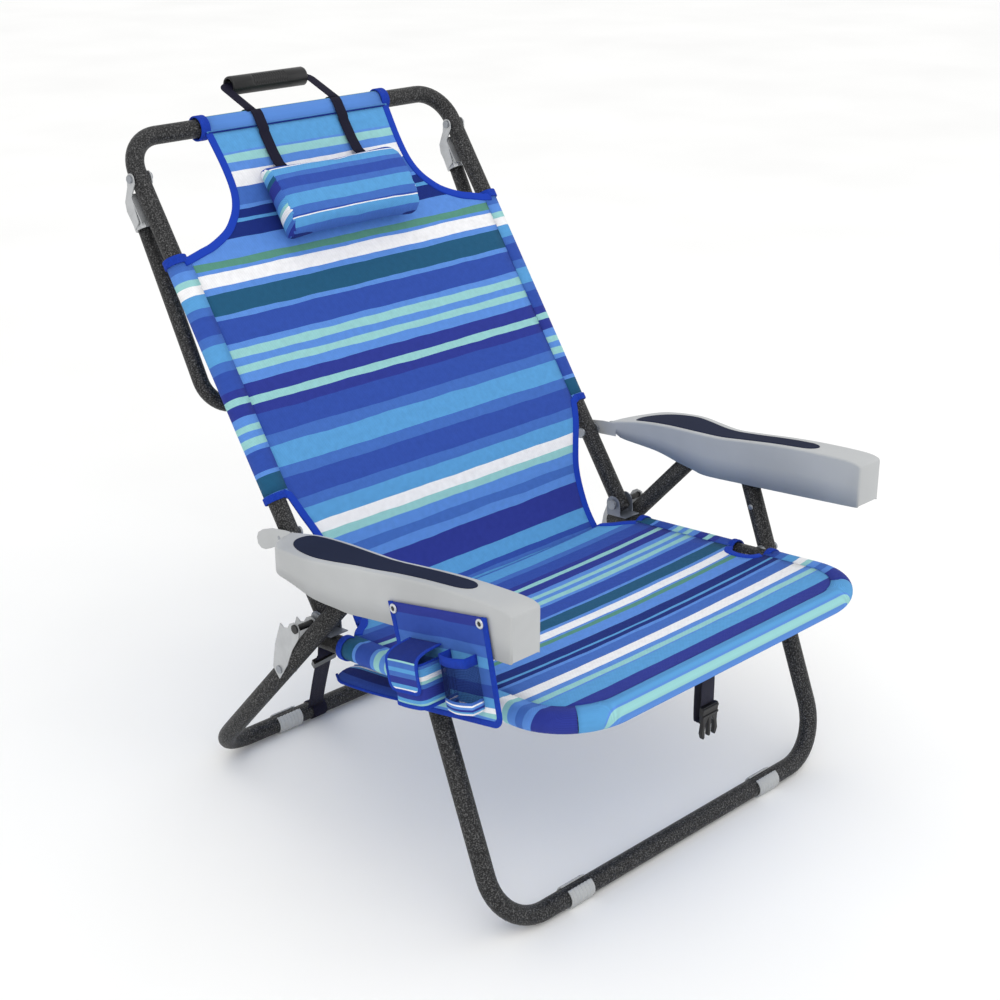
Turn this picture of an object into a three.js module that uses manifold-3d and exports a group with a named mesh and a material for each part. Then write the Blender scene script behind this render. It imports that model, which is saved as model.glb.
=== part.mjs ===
// A folding beach chair with a high reclining sling back, plastic armrests, a head pillow,
// a carry handle, a towel bar, a side pouch and backpack straps.
// Millimetres, +Z up. The middle plane is x = 0 and the chair faces -Y. In the working frame
// y = 0, z = FRONT_BAR_Z is the axis of the front floor bar; the finished group is moved so
// that its origin is the middle of its own footprint box, on the floor.
// Left is the -X side and right is the +X side, as seen by someone facing the chair.
import * as THREE from 'three';
import { mergeVertices } from 'three/addons/utils/BufferGeometryUtils.js';
import Module from 'manifold-3d';

const wasm = await Module();
wasm.setup();

// ---------------------------------------------------------------- driving dimensions
const TUBE_R = 12.7;
const TUBE_WALL = 1.2;
const TUBE_SIDES = 14;
const FRONT_BAR_Z = 12.7;
const GAP = 0.3;

const SEAT_HALF = 289;
const BACK_HALF = 286;
const FRONT_LEG_HALF = 322;
const REAR_LEG_HALF = 320;

// Lines of the four frames in the side view: a start point (y, z) and a direction in degrees.
const SEAT_LINE = { y: -80.5, z: 314.6, angle: -5.365 };
const BACK_LINE = { y: 359.5, z: 288.3, angle: 55.1 };
const FRONT_LEG_LINE = { y: 0, z: FRONT_BAR_Z, angle: 68.0 };
const REAR_LEG_LINE = { y: 608.6, z: FRONT_BAR_Z, angle: 132.26 };

const SEAT_LENGTH = 470;
const SEAT_CORNER = 85;
const BACK_TOP = 716;
const BACK_CORNER = 50;
const FLOOR_CORNER = 75;

// Pivots in the side view (y, z).
const SEAT_BACK_PIVOT = [370.25, 303.7];
const SEAT_LEG_PIVOT = [114.57, 296.28];
const LEG_ARM_PIVOT = [166.0, 423.5];
const BACK_ARM_PIVOT = [438.8, 402.0];
const REAR_ARM_PIVOT = [233.0, 426.0];
const PIN_R = 3;
const PIN_HOLE_R = 3.5;

const SLING = { low: 10.3, high: 12.3, half: 278 };

const ARM_INNER = 303.5;
const ARM_WALL = 2;
const ARM_CEILING = 4.6;
const PAD_DEPTH = 2;

const TOWEL_BAR_R = 11;
const TOWEL_PIVOT = 660;

const SIDES = [['left', -1], ['right', 1]];

// ---------------------------------------------------------------- looks
const LOOKS = {
  tube: [0x2b2b2c, 0.55, 0.6],
  steel: [0xb9bcbe, 0.35, 0.9],
  zinc: [0x8f9499, 0.35, 0.9],
  black_plastic: [0x17171a, 0.5, 0],
  grey_plastic: [0xbcbebc, 0.45, 0],
  pad: [0x252c40, 0.8, 0],
  sling: [0x4a86d8, 0.85, 0],
  webbing: [0x1f1e30, 0.85, 0],
  strap_pad: [0x22386f, 0.85, 0],
  mesh: [0x2b4890, 0.85, 0],
  silver: [0xc9ccd0, 0.25, 1],
};

const chair = new THREE.Group();

function frameGroup(line) {
  const group = new THREE.Group();
  group.position.set(0, line.y, line.z);
  group.rotation.x = THREE.MathUtils.degToRad(line.angle);
  chair.add(group);
  return group;
}

const seat = frameGroup(SEAT_LINE);
const back = frameGroup(BACK_LINE);
const frontLeg = frameGroup(FRONT_LEG_LINE);
const rearLeg = frameGroup(REAR_LEG_LINE);

function addPart(group, name, geometry, look) {
  const [color, roughness, metalness] = LOOKS[look];
  const material = new THREE.MeshStandardMaterial({ color, roughness, metalness });
  const mesh = new THREE.Mesh(geometry, material);
  mesh.name = name;
  group.add(mesh);
  return mesh;
}

// The side-view point (y, z) as seen in a frame's own axes: distance along it, height above it.
function along(line, [y, z]) {
  const angle = THREE.MathUtils.degToRad(line.angle);
  const dy = y - line.y;
  const dz = z - line.z;
  return [dy * Math.cos(angle) + dz * Math.sin(angle), dz * Math.cos(angle) - dy * Math.sin(angle)];
}

// ---------------------------------------------------------------- solids
function solidOf(geometry) {
  const bare = geometry.clone();
  bare.deleteAttribute('normal');
  bare.deleteAttribute('uv');
  const merged = mergeVertices(bare, 1e-3);
  const vertProperties = new Float32Array(merged.attributes.position.array);
  const triVerts = new Uint32Array(merged.index.array);
  return new wasm.Manifold(new wasm.Mesh({ numProp: 3, vertProperties, triVerts }));
}

function geometryOf(solid) {
  const mesh = solid.getMesh();
  const geometry = new THREE.BufferGeometry();
  geometry.setAttribute('position', new THREE.BufferAttribute(mesh.vertProperties, 3));
  geometry.setIndex(new THREE.BufferAttribute(mesh.triVerts, 1));
  geometry.computeVertexNormals();
  return geometry;
}

function cut(base, ...tools) {
  const solid = tools.reduce((left, tool) => left.subtract(solidOf(tool)), solidOf(base));
  return geometryOf(solid);
}

function join(base, ...others) {
  const solid = others.reduce((left, other) => left.add(solidOf(other)), solidOf(base));
  return geometryOf(solid);
}

function common(one, two) {
  return geometryOf(solidOf(one).intersect(solidOf(two)));
}

function outline(points) {
  return new THREE.Shape(points.map(([a, b]) => new THREE.Vector2(a, b)));
}

function circlePoints(centre, radius, sides, from = 0, to = 360) {
  const whole = to - from >= 360;
  const count = whole ? sides : sides + 1;
  return Array.from({ length: count }, (_, i) => {
    const angle = THREE.MathUtils.degToRad(from + ((to - from) * i) / sides);
    return [centre[0] + radius * Math.cos(angle), centre[1] + radius * Math.sin(angle)];
  });
}

function flatExtrude(shape, depth) {
  return new THREE.ExtrudeGeometry(shape, { depth, steps: 1, bevelEnabled: false, curveSegments: 6 });
}

const X_AXIS = new THREE.Vector3(1, 0, 0);
const Y_AXIS = new THREE.Vector3(0, 1, 0);
const Z_AXIS = new THREE.Vector3(0, 0, 1);
const SIDE_VIEW = new THREE.Matrix4().makeBasis(Y_AXIS, Z_AXIS, X_AXIS);
const FRONT_VIEW = new THREE.Matrix4().makeBasis(X_AXIS, Z_AXIS, new THREE.Vector3(0, -1, 0));

// An outline drawn in the side view (y, z), between two distances from the middle plane.
function sideSlab(shape, side, inner, outer) {
  const start = side > 0 ? inner : -outer;
  return flatExtrude(shape, outer - inner).applyMatrix4(SIDE_VIEW).translate(start, 0, 0);
}

// An outline drawn in plan (x, y), between two heights.
function planSlab(shape, low, high) {
  return flatExtrude(shape, high - low).translate(0, 0, low);
}

// An outline drawn from the front (x, z), between two values of y.
function frontSlab(shape, near, far) {
  return flatExtrude(shape, far - near).applyMatrix4(FRONT_VIEW).translate(0, far, 0);
}

function pin(side, inner, outer, centre, radius, sides = 10) {
  return sideSlab(outline(circlePoints(centre, radius, sides)), side, inner, outer);
}

function block(x0, x1, y0, y1, z0, z1) {
  const box = new THREE.BoxGeometry(x1 - x0, y1 - y0, z1 - z0);
  return box.translate((x0 + x1) / 2, (y0 + y1) / 2, (z0 + z1) / 2);
}

// A mirrored copy of a list of (x, y) points, put in front in reverse: a symmetric outline.
function mirrored(points) {
  const other = points.map(([x, y]) => [-x, y]).reverse();
  return outline([...points, ...other]);
}

// A flat ribbon of even thickness along a side-view polyline, as a closed outline.
function ribbon(points, thickness) {
  const path = points.map(([a, b]) => new THREE.Vector2(a, b));
  const offset = (sign) => path.map((point, i) => {
    const before = path[Math.max(i - 1, 0)];
    const after = path[Math.min(i + 1, path.length - 1)];
    const direction = after.clone().sub(before).normalize();
    return [point.x - sign * direction.y * thickness / 2, point.y + sign * direction.x * thickness / 2];
  });
  return outline([...offset(-1), ...offset(1).reverse()]);
}

// ---------------------------------------------------------------- bent tubes
// A path through given stations, one ring of the tube at each.
class StationPath extends THREE.Curve {
  constructor(points, tangents) {
    super();
    this.points = points;
    this.tangents = tangents;
  }

  getPointAt(t) {
    const place = t * (this.points.length - 1);
    const index = Math.min(Math.floor(place), this.points.length - 2);
    return this.points[index].clone().lerp(this.points[index + 1], place - index);
  }

  getTangentAt(t) {
    return this.tangents[Math.round(t * (this.tangents.length - 1))].clone();
  }
}

// A polyline whose inner corners are arcs of the given radius.
function filletedPath(corners, radius, arcSteps = 5) {
  const points = [corners[0].clone()];
  const tangents = [corners[1].clone().sub(corners[0]).normalize()];
  for (let i = 1; i < corners.length - 1; i += 1) {
    const arriving = corners[i].clone().sub(corners[i - 1]).normalize();
    const leaving = corners[i + 1].clone().sub(corners[i]).normalize();
    const turn = arriving.angleTo(leaving);
    const reach = radius * Math.tan(turn / 2);
    const start = corners[i].clone().addScaledVector(arriving, -reach);
    const inward = leaving.clone().addScaledVector(arriving, -arriving.dot(leaving)).normalize();
    const centre = start.clone().addScaledVector(inward, radius);
    for (let k = 0; k <= arcSteps; k += 1) {
      const angle = (turn * k) / arcSteps;
      points.push(centre.clone()
        .addScaledVector(inward, -radius * Math.cos(angle))
        .addScaledVector(arriving, radius * Math.sin(angle)));
      tangents.push(arriving.clone().multiplyScalar(Math.cos(angle))
        .addScaledVector(inward, Math.sin(angle)).normalize());
    }
  }
  const last = corners.length - 1;
  points.push(corners[last].clone());
  tangents.push(corners[last].clone().sub(corners[last - 1]).normalize());
  return new StationPath(points, tangents);
}

function bentTube(corners, bendRadius, radius) {
  const path = filletedPath(corners, bendRadius);
  const section = outline(circlePoints([0, 0], radius, TUBE_SIDES));
  const bore = circlePoints([0, 0], radius - TUBE_WALL, TUBE_SIDES);
  section.holes.push(new THREE.Path(bore.map(([a, b]) => new THREE.Vector2(a, b))));
  return new THREE.ExtrudeGeometry(section, {
    steps: path.points.length - 1,
    bevelEnabled: false,
    extrudePath: path,
  });
}

// A U-shaped tube lying in its frame's own plane: two arms from armEnd to the cross bar.
function uTube(half, armEnd, barAt, bendRadius, radius = TUBE_R) {
  const corners = [[-half, armEnd], [-half, barAt], [half, barAt], [half, armEnd]];
  return bentTube(corners.map(([x, y]) => new THREE.Vector3(x, y, 0)), bendRadius, radius);
}

const HOLE_REACH = 20;

// The hole for a bolt through whatever is within reach of a frame's arm on one side.
function boltHole(side, half, centre) {
  return pin(side, half - HOLE_REACH, half + HOLE_REACH, centre, PIN_HOLE_R, 12);
}

function boltHoles(half, centre) {
  return SIDES.map(([, side]) => boltHole(side, half, centre));
}

// ---------------------------------------------------------------- seat frame and sling
const seatLegHole = along(SEAT_LINE, SEAT_LEG_PIVOT);
const seatTube = cut(uTube(SEAT_HALF, SEAT_LENGTH, 0, SEAT_CORNER), ...boltHoles(SEAT_HALF, seatLegHole));
addPart(seat, 'seat_frame_tube', seatTube, 'tube');

const SEAT_SLING_HALF_OUTLINE = [
  [190, 9], [236, 16], [262, 36], [277, 64], [SLING.half, 90], [SLING.half, 164], [262, 178],
  [262, 212], [SLING.half, 226], [SLING.half, 400], [262, 416], [241, 425],
];
addPart(seat, 'sling_seat', planSlab(mirrored(SEAT_SLING_HALF_OUTLINE), SLING.low, SLING.high), 'sling');

// ---------------------------------------------------------------- hinge between seat and back
const hinge = along(SEAT_LINE, SEAT_BACK_PIVOT);
const BRACKET = { inner: 271.2, outer: 300.9, plate: 1.6, half: 13, web: 1.5, lip: 12 };

function hingeBracket(side) {
  const base = TUBE_R + GAP;
  const cheek = outline([
    [hinge[0] - BRACKET.half, base], [hinge[0] + BRACKET.half, base],
    ...circlePoints(hinge, BRACKET.half, 8, 0, 180),
  ]);
  const web = outline([
    [hinge[0] - BRACKET.half - BRACKET.lip, base], [hinge[0] + BRACKET.half, base],
    [hinge[0] + BRACKET.half, base + BRACKET.web],
    [hinge[0] - BRACKET.half - BRACKET.lip, base + BRACKET.web],
  ]);
  const solid = join(
    sideSlab(web, side, BRACKET.inner, BRACKET.outer),
    sideSlab(cheek, side, BRACKET.inner, BRACKET.inner + BRACKET.plate),
    sideSlab(cheek, side, BRACKET.outer - BRACKET.plate, BRACKET.outer),
  );
  return cut(solid, boltHole(side, BACK_HALF, hinge));
}

function hingeBolt(side) {
  return join(
    pin(side, BRACKET.inner - 4, BRACKET.outer + 1, hinge, PIN_R),
    pin(side, BRACKET.inner - 4.5, BRACKET.inner - GAP, hinge, 7.5, 12),
    pin(side, BRACKET.outer + GAP, 303.1, hinge, 11, 16),
  );
}

for (const [name, side] of SIDES) {
  addPart(seat, `hinge_bracket_${name}`, hingeBracket(side), 'steel');
  addPart(seat, `hinge_bolt_${name}`, hingeBolt(side), 'zinc');
}

// ---------------------------------------------------------------- front legs
const legTop = along(FRONT_LEG_LINE, LEG_ARM_PIVOT);
const legSeatHole = along(FRONT_LEG_LINE, SEAT_LEG_PIVOT);
const legPin = [legTop[0], 0];
const frontLegTube = cut(
  uTube(FRONT_LEG_HALF, legTop[0] + 8, 0, FLOOR_CORNER),
  ...boltHoles(FRONT_LEG_HALF, legSeatHole),
  ...boltHoles(FRONT_LEG_HALF, legPin),
);
addPart(frontLeg, 'front_leg_tube', frontLegTube, 'tube');

function frontPivotBolt(side) {
  const rail = SEAT_HALF + TUBE_R;
  const leg = FRONT_LEG_HALF - TUBE_R;
  return join(
    pin(side, SEAT_HALF - TUBE_R - 2.5, FRONT_LEG_HALF + TUBE_R + 2.5, SEAT_LEG_PIVOT, PIN_R),
    pin(side, SEAT_HALF - TUBE_R - 3.5, SEAT_HALF - TUBE_R - GAP, SEAT_LEG_PIVOT, 6.5, 12),
    pin(side, rail + GAP, leg - GAP, SEAT_LEG_PIVOT, 9, 16),
    pin(side, FRONT_LEG_HALF + TUBE_R + GAP, FRONT_LEG_HALF + TUBE_R + 3.5, SEAT_LEG_PIVOT, 6.5, 12),
  );
}

// A short pin through one tube, with a head on each side.
function tubePin(side, half, centre, inner = half - TUBE_R - 2, outer = half + TUBE_R + 2.5) {
  return join(
    pin(side, inner, outer, centre, PIN_R),
    pin(side, inner, half - TUBE_R - GAP, centre, 6, 12),
    pin(side, half + TUBE_R + GAP, outer, centre, 6, 12),
  );
}

for (const [name, side] of SIDES) {
  addPart(chair, `front_pivot_bolt_${name}`, frontPivotBolt(side), 'zinc');
  addPart(frontLeg, `front_leg_pin_${name}`, tubePin(side, FRONT_LEG_HALF, legPin), 'zinc');
}

// ---------------------------------------------------------------- rear legs
const rearTop = along(REAR_LEG_LINE, REAR_ARM_PIVOT);
const rearPin = [rearTop[0], 0];
const NOTCH_RIVET = [413.4, 227.5];
const NOTCH_ROD = [374, 301.5];
const notchRivetHole = along(REAR_LEG_LINE, NOTCH_RIVET);
const rearLegTube = cut(
  uTube(REAR_LEG_HALF, rearTop[0] + 4, 0, FLOOR_CORNER),
  ...boltHoles(REAR_LEG_HALF, rearPin),
  ...boltHoles(REAR_LEG_HALF, notchRivetHole),
);
addPart(rearLeg, 'rear_leg_tube', rearLegTube, 'tube');

// Hooked plates riveted on both faces of the rear leg, held apart by a rod.
const NOTCH_OUTLINE = [
  [414.5, 213], [427.5, 227], [421, 262], [407, 298.6], [399, 294.5], [391.4, 297], [386, 305],
  [378, 309.5], [370, 308.5], [365.8, 302], [368.5, 289], [384, 266], [396, 240],
];
const NOTCH_PLATE = 1.2;
const NOTCH = {
  inner: REAR_LEG_HALF - TUBE_R - GAP - NOTCH_PLATE,
  outer: REAR_LEG_HALF + TUBE_R + GAP,
};

function notchPlate(side, inner) {
  const plate = sideSlab(outline(NOTCH_OUTLINE), side, inner, inner + NOTCH_PLATE);
  const rodHole = pin(side, inner - 5, inner + 5, NOTCH_ROD, 4.9, 12);
  const rivetHole = pin(side, inner - 5, inner + 5, NOTCH_RIVET, PIN_HOLE_R, 12);
  return cut(plate, rodHole, rivetHole);
}

function notchRod(side) {
  const outside = NOTCH.outer + NOTCH_PLATE;
  return join(
    pin(side, NOTCH.inner + 0.2, outside + 1.5, NOTCH_ROD, 4.4),
    pin(side, outside + GAP, outside + 2.3, NOTCH_ROD, 6.3, 12),
  );
}

function notchRivet(side) {
  const outside = NOTCH.outer + NOTCH_PLATE;
  return join(
    pin(side, NOTCH.inner - 1.5, outside + 1.5, NOTCH_RIVET, PIN_R),
    pin(side, NOTCH.inner - 1.8, NOTCH.inner - GAP, NOTCH_RIVET, 5.5, 12),
    pin(side, outside + GAP, outside + 2, NOTCH_RIVET, 5.5, 12),
  );
}

for (const [name, side] of SIDES) {
  addPart(rearLeg, `rear_leg_pin_${name}`, tubePin(side, REAR_LEG_HALF, rearPin, 306.6), 'zinc');
  addPart(chair, `notch_plate_outer_${name}`, notchPlate(side, NOTCH.outer), 'steel');
  addPart(chair, `notch_plate_inner_${name}`, notchPlate(side, NOTCH.inner), 'steel');
  addPart(chair, `notch_rod_${name}`, notchRod(side), 'black_plastic');
  addPart(chair, `notch_rivet_${name}`, notchRivet(side), 'zinc');
}

// ---------------------------------------------------------------- floor clips
const CLIP = { outer: 15.6, inner: 13.1, flat: 15, length: 42, frontAt: 190, rearAt: 185, split: 24 };

function floorClip(side, at, barY) {
  const start = 90 + CLIP.split;
  const end = 450 - CLIP.split;
  const footEdge = THREE.MathUtils.radToDeg(Math.acos(CLIP.flat / CLIP.outer));
  const outside = [
    ...circlePoints([0, 0], CLIP.outer, 8, start, 270 - footEdge),
    ...circlePoints([0, 0], CLIP.outer, 8, 270 + footEdge, end),
  ];
  const inside = circlePoints([0, 0], CLIP.inner, 14, start, end).reverse();
  const ring = outline([...outside, ...inside]);
  const clip = sideSlab(ring, side, at - CLIP.length / 2, at + CLIP.length / 2);
  return clip.translate(0, barY, FRONT_BAR_Z);
}

for (const [name, side] of SIDES) {
  addPart(chair, `front_foot_clip_${name}`, floorClip(side, CLIP.frontAt, FRONT_LEG_LINE.y), 'grey_plastic');
  addPart(chair, `rear_foot_clip_${name}`, floorClip(side, CLIP.rearAt, REAR_LEG_LINE.y), 'grey_plastic');
}

// ---------------------------------------------------------------- back frame and sling
const backHinge = along(BACK_LINE, SEAT_BACK_PIVOT);
const backArm = along(BACK_LINE, BACK_ARM_PIVOT);
const ROUND_END = 13.1;

// What is cut away so that the tube's lower end is round about the hinge.
function roundEndTool(side) {
  const [s, n] = backHinge;
  const reach = 20;
  const bite = circlePoints([s, n], ROUND_END, 12, 90, 270);
  const around = [[s, n - reach], [s - reach, n - reach], [s - reach, n + reach], [s, n + reach]];
  return sideSlab(outline([...bite, ...around]), side, BACK_HALF - reach, BACK_HALF + reach);
}

const backTube = cut(
  uTube(BACK_HALF, backHinge[0] - ROUND_END - 2, BACK_TOP, BACK_CORNER),
  ...SIDES.map(([, side]) => roundEndTool(side)),
  ...boltHoles(BACK_HALF, backHinge),
  ...boltHoles(BACK_HALF, backArm),
  ...boltHoles(BACK_HALF, [TOWEL_PIVOT, 0]),
);
addPart(back, 'back_frame_tube', backTube, 'tube');

const BACK_SLING_HALF_OUTLINE = [
  [241, -6], [235, 39], [240, 91], [252, 125], [264, 153], [277, 178], [SLING.half, 190],
  [SLING.half, 530], [268, 533], [230, 542], [201, 556], [183, 572], [170, 590], [162, 614],
  [160, 640], [163, 700], [163, 707],
];
addPart(back, 'sling_back', planSlab(mirrored(BACK_SLING_HALF_OUTLINE), SLING.low, SLING.high), 'sling');

// ---------------------------------------------------------------- head pillow and its straps
const PILLOW = { half: 118, strapInner: 63, strapOuter: 81 };
const PILLOW_SECTION = [
  [529, 14], [522, 26], [522, 38], [532, 52], [552, 58.5], [588, 58.5], [614, 52], [630, 36],
  [633, 22], [628, 14],
];
addPart(back, 'head_pillow', sideSlab(outline(PILLOW_SECTION), 1, -PILLOW.half, PILLOW.half), 'sling');

const STRAP_LOOP = 17;
const HANDLE_LOOP = 14.9;
const handleCentre = [783, -27];
const handleAngle = THREE.MathUtils.radToDeg(Math.atan2(handleCentre[1], handleCentre[0] - BACK_TOP));
const handleReach = Math.hypot(handleCentre[0] - BACK_TOP, handleCentre[1]);
const handleTangent = handleAngle + THREE.MathUtils.radToDeg(Math.acos(HANDLE_LOOP / handleReach));

function pillowStrap(side) {
  const overBar = circlePoints([BACK_TOP, 0], STRAP_LOOP, 2, 90, handleTangent + 12).reverse();
  const down = [[BACK_TOP - 20, STRAP_LOOP - 0.6], [634.5, 20]];
  const path = [...overBar, ...down];
  return sideSlab(ribbon(path, 1.4), side, PILLOW.strapInner, PILLOW.strapOuter);
}

// ---------------------------------------------------------------- carry handle
const GRIP = { half: 67, outer: 14, inner: 11, slit: 20 };
const HANDLE_WEB = { inner: 67.6, outer: 84 };

function grip() {
  const middle = 180 + handleAngle;
  const from = middle + GRIP.slit;
  const to = middle + 360 - GRIP.slit;
  const outside = circlePoints(handleCentre, GRIP.outer, 14, from, to);
  const inside = circlePoints(handleCentre, GRIP.inner, 12, from, to).reverse();
  return sideSlab(outline([...outside, ...inside]), 1, -GRIP.half, GRIP.half);
}

function handleWebbing(side) {
  const overBar = circlePoints([BACK_TOP, 0], HANDLE_LOOP, 6, -60, handleTangent);
  const strip = ribbon([...overBar, handleCentre], 1.4);
  const [s, n] = handleCentre;
  const tongue = ribbon([[s - 7, n + 2.8], [s + 7, n - 2.8]], 1.6);
  return join(
    sideSlab(strip, side, HANDLE_WEB.inner, HANDLE_WEB.outer),
    sideSlab(tongue, side, GRIP.half - 25, HANDLE_WEB.outer),
  );
}

addPart(back, 'handle_grip', grip(), 'black_plastic');
for (const [name, side] of SIDES) {
  addPart(back, `pillow_strap_${name}`, pillowStrap(side), 'webbing');
  addPart(back, `handle_webbing_${name}`, handleWebbing(side), 'webbing');
}

// ---------------------------------------------------------------- towel bar
const TOWEL = { top: 606, topDepth: -34, bottom: 341, bottomDepth: -61, corner: 42, sleeveR: 14.3 };
const CLEVIS = { inner: 271.1, outer: 300.9, plate: 1.6, webFrom: 603, webTo: 645, behind: -14.6 };
const towelSlope = (TOWEL.topDepth - TOWEL.bottomDepth) / (TOWEL.top - TOWEL.bottom);

function towelDepth(s) {
  return TOWEL.topDepth + towelSlope * (s - TOWEL.top);
}

function towelBar() {
  const arm = 626;
  const corners = [
    new THREE.Vector3(-BACK_HALF, arm, towelDepth(arm)),
    new THREE.Vector3(-BACK_HALF, TOWEL.bottom, TOWEL.bottomDepth),
    new THREE.Vector3(BACK_HALF, TOWEL.bottom, TOWEL.bottomDepth),
    new THREE.Vector3(BACK_HALF, arm, towelDepth(arm)),
  ];
  return bentTube(corners, TOWEL.corner, TOWEL_BAR_R);
}

// A rod on the axis of the towel bar's arm, between two distances up the back.
function towelRod(side, radius, from, to) {
  const slope = Math.atan(towelSlope);
  const middle = (from + to) / 2;
  const rod = new THREE.CylinderGeometry(radius, radius, (to - from) / Math.cos(slope), TUBE_SIDES);
  return rod.rotateX(slope).translate(side * BACK_HALF, middle, towelDepth(middle));
}

function towelBracket(side) {
  const plate = outline([
    ...circlePoints([TOWEL_PIVOT, 0], 8, 6, -40, 110), [650, 4], [640, -14], [606, -22], [602, -36],
    [630, -38], [642, -33], [655, -14],
  ]);
  const web = outline([
    [CLEVIS.webFrom, CLEVIS.behind - 1.8], [CLEVIS.webTo, CLEVIS.behind - 1.8],
    [CLEVIS.webTo, CLEVIS.behind], [CLEVIS.webFrom, CLEVIS.behind],
  ]);
  const sleeve = towelRod(side, TOWEL.sleeveR, 600, 633);
  const bore = towelRod(side, TOWEL_BAR_R + GAP, 570, 640);
  const solid = join(
    sideSlab(plate, side, CLEVIS.inner, CLEVIS.inner + CLEVIS.plate),
    sideSlab(plate, side, CLEVIS.outer - CLEVIS.plate, CLEVIS.outer),
    sideSlab(web, side, CLEVIS.inner, CLEVIS.outer),
    sleeve,
  );
  return cut(solid, bore, boltHole(side, BACK_HALF, [TOWEL_PIVOT, 0]));
}

function towelBolt(side) {
  return join(
    pin(side, CLEVIS.inner - 2.5, CLEVIS.outer + 2.5, [TOWEL_PIVOT, 0], PIN_R),
    pin(side, CLEVIS.inner - 2.8, CLEVIS.inner - GAP, [TOWEL_PIVOT, 0], 5.5, 12),
    pin(side, CLEVIS.outer + GAP, CLEVIS.outer + 2.8, [TOWEL_PIVOT, 0], 5.5, 12),
  );
}

addPart(back, 'towel_bar_tube', towelBar(), 'tube');
for (const [name, side] of SIDES) {
  addPart(back, `towel_bracket_${name}`, towelBracket(side), 'steel');
  addPart(back, `towel_pivot_bolt_${name}`, towelBolt(side), 'zinc');
}

// ---------------------------------------------------------------- armrests
const ARM_TOP = [
  [-45, 470], [-39, 476], [0, 475], [52, 470.5], [104, 464], [160, 455], [201, 448.5],
  [250, 444.5], [300, 440.5], [350, 433.5], [405, 420.5],
];
const ARM_BOTTOM = [
  [405, 398], [384, 397.5], [316, 397], [276, 391], [245, 387], [220, 384.5], [155, 391],
  [116, 395], [-36, 412], [-45, 417],
];
const ARM_OUTER_EDGE = [
  [350, -45], [350, 100], [351.5, 160], [356, 205], [366, 245], [374, 275], [376, 300],
  [373, 335], [362, 368], [345, 391], [325, 404],
];
const ARM_REAR = 404;
// Slabs that reach past the armrest: across, and from below its bottom line to over its top.
const ARM_ACROSS = [290, 390];
const ARM_HEIGHTS = [330, 500];
// The opening in the rear end that the rear leg comes out through.
const LEG_EXIT = {
  inner: ARM_INNER + ARM_WALL + 0.1, outer: 339, front: 380, rear: 420, low: 340, high: 411,
};
const TONGUE = [
  [398, 421], [454, 412], [487.5, 396], [487, 375], [462, 378], [434, 395], [398, 397.5],
];
const TONGUE_HOLE = [478, 385];

function armPlan(side, inset) {
  const front = ARM_OUTER_EDGE[0][1] + inset;
  const rear = ARM_REAR - inset;
  const outer = ARM_OUTER_EDGE.map(([x, y]) => [x - inset, Math.min(Math.max(y, front), rear)]);
  const points = [[ARM_INNER + inset, front], ...outer, [ARM_INNER + inset, rear]];
  return outline(points.map(([x, y]) => [side * x, y]));
}

function lowered(points, drop) {
  return points.map(([y, z]) => [y, z - drop]);
}

// The outline of the soft inset, grown or shrunk by a margin.
function padPlan(side, grow) {
  const points = [
    [309, 62], [313, 47], [322, 38], [332, 44], [338, 70], [340, 155], [347, 215], [360, 262],
    [365, 290], [361, 322], [350, 348], [334, 366], [318, 371], [310, 360],
  ];
  const middle = [328, 205];
  return outline(points.map(([x, y]) => [
    side * (x + grow * Math.sign(x - middle[0])), y + grow * Math.sign(y - middle[1]),
  ]));
}

// The layer between two depths under the armrest's top line.
function topLayer(side, from, to) {
  const layer = outline([...lowered(ARM_TOP, from), ...lowered(ARM_TOP, to).reverse()]);
  return sideSlab(layer, side, ...ARM_ACROSS);
}

function armrestShell(side) {
  const body = common(
    sideSlab(outline([...ARM_TOP, ...ARM_BOTTOM]), side, ...ARM_ACROSS),
    planSlab(armPlan(side, 0), ...ARM_HEIGHTS),
  );
  const under = [...lowered(ARM_TOP, ARM_CEILING), [405, ARM_HEIGHTS[0]], [-45, ARM_HEIGHTS[0]]];
  const cavity = common(
    sideSlab(outline(under), side, ...ARM_ACROSS),
    planSlab(armPlan(side, ARM_WALL), ...ARM_HEIGHTS),
  );
  const recess = common(topLayer(side, -3, PAD_DEPTH), planSlab(padPlan(side, GAP), ...ARM_HEIGHTS));
  const { inner, outer, front, rear, low, high } = LEG_EXIT;
  const exitOutline = outline([[front, low], [rear, low], [rear, high], [front, high]]);
  const legExit = sideSlab(exitOutline, side, inner, outer);
  const hollow = cut(body, cavity, recess, legExit);
  const tongue = sideSlab(outline(TONGUE), side, ARM_INNER, ARM_INNER + ARM_WALL);
  return cut(
    join(hollow, tongue),
    pin(side, ARM_INNER - 5, ARM_INNER + 5, BACK_ARM_PIVOT, PIN_HOLE_R, 12),
    pin(side, ARM_INNER - 5, ARM_INNER + 5, TONGUE_HOLE, 2.6, 10),
  );
}

function armrestPad(side) {
  return common(topLayer(side, 0.2, PAD_DEPTH - GAP), planSlab(padPlan(side, -GAP), ...ARM_HEIGHTS));
}

// A rivet whose outer end is flush with the tongue, so that the notch plates fold past it.
function armrestBolt(side) {
  const tube = BACK_HALF + TUBE_R;
  return join(
    pin(side, BACK_HALF - TUBE_R - 3, ARM_INNER + ARM_WALL - 0.1, BACK_ARM_PIVOT, PIN_R),
    pin(side, BACK_HALF - TUBE_R - 3.2, BACK_HALF - TUBE_R - GAP, BACK_ARM_PIVOT, 6.5, 12),
    pin(side, tube + GAP, ARM_INNER - GAP, BACK_ARM_PIVOT, 8, 14),
  );
}

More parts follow.
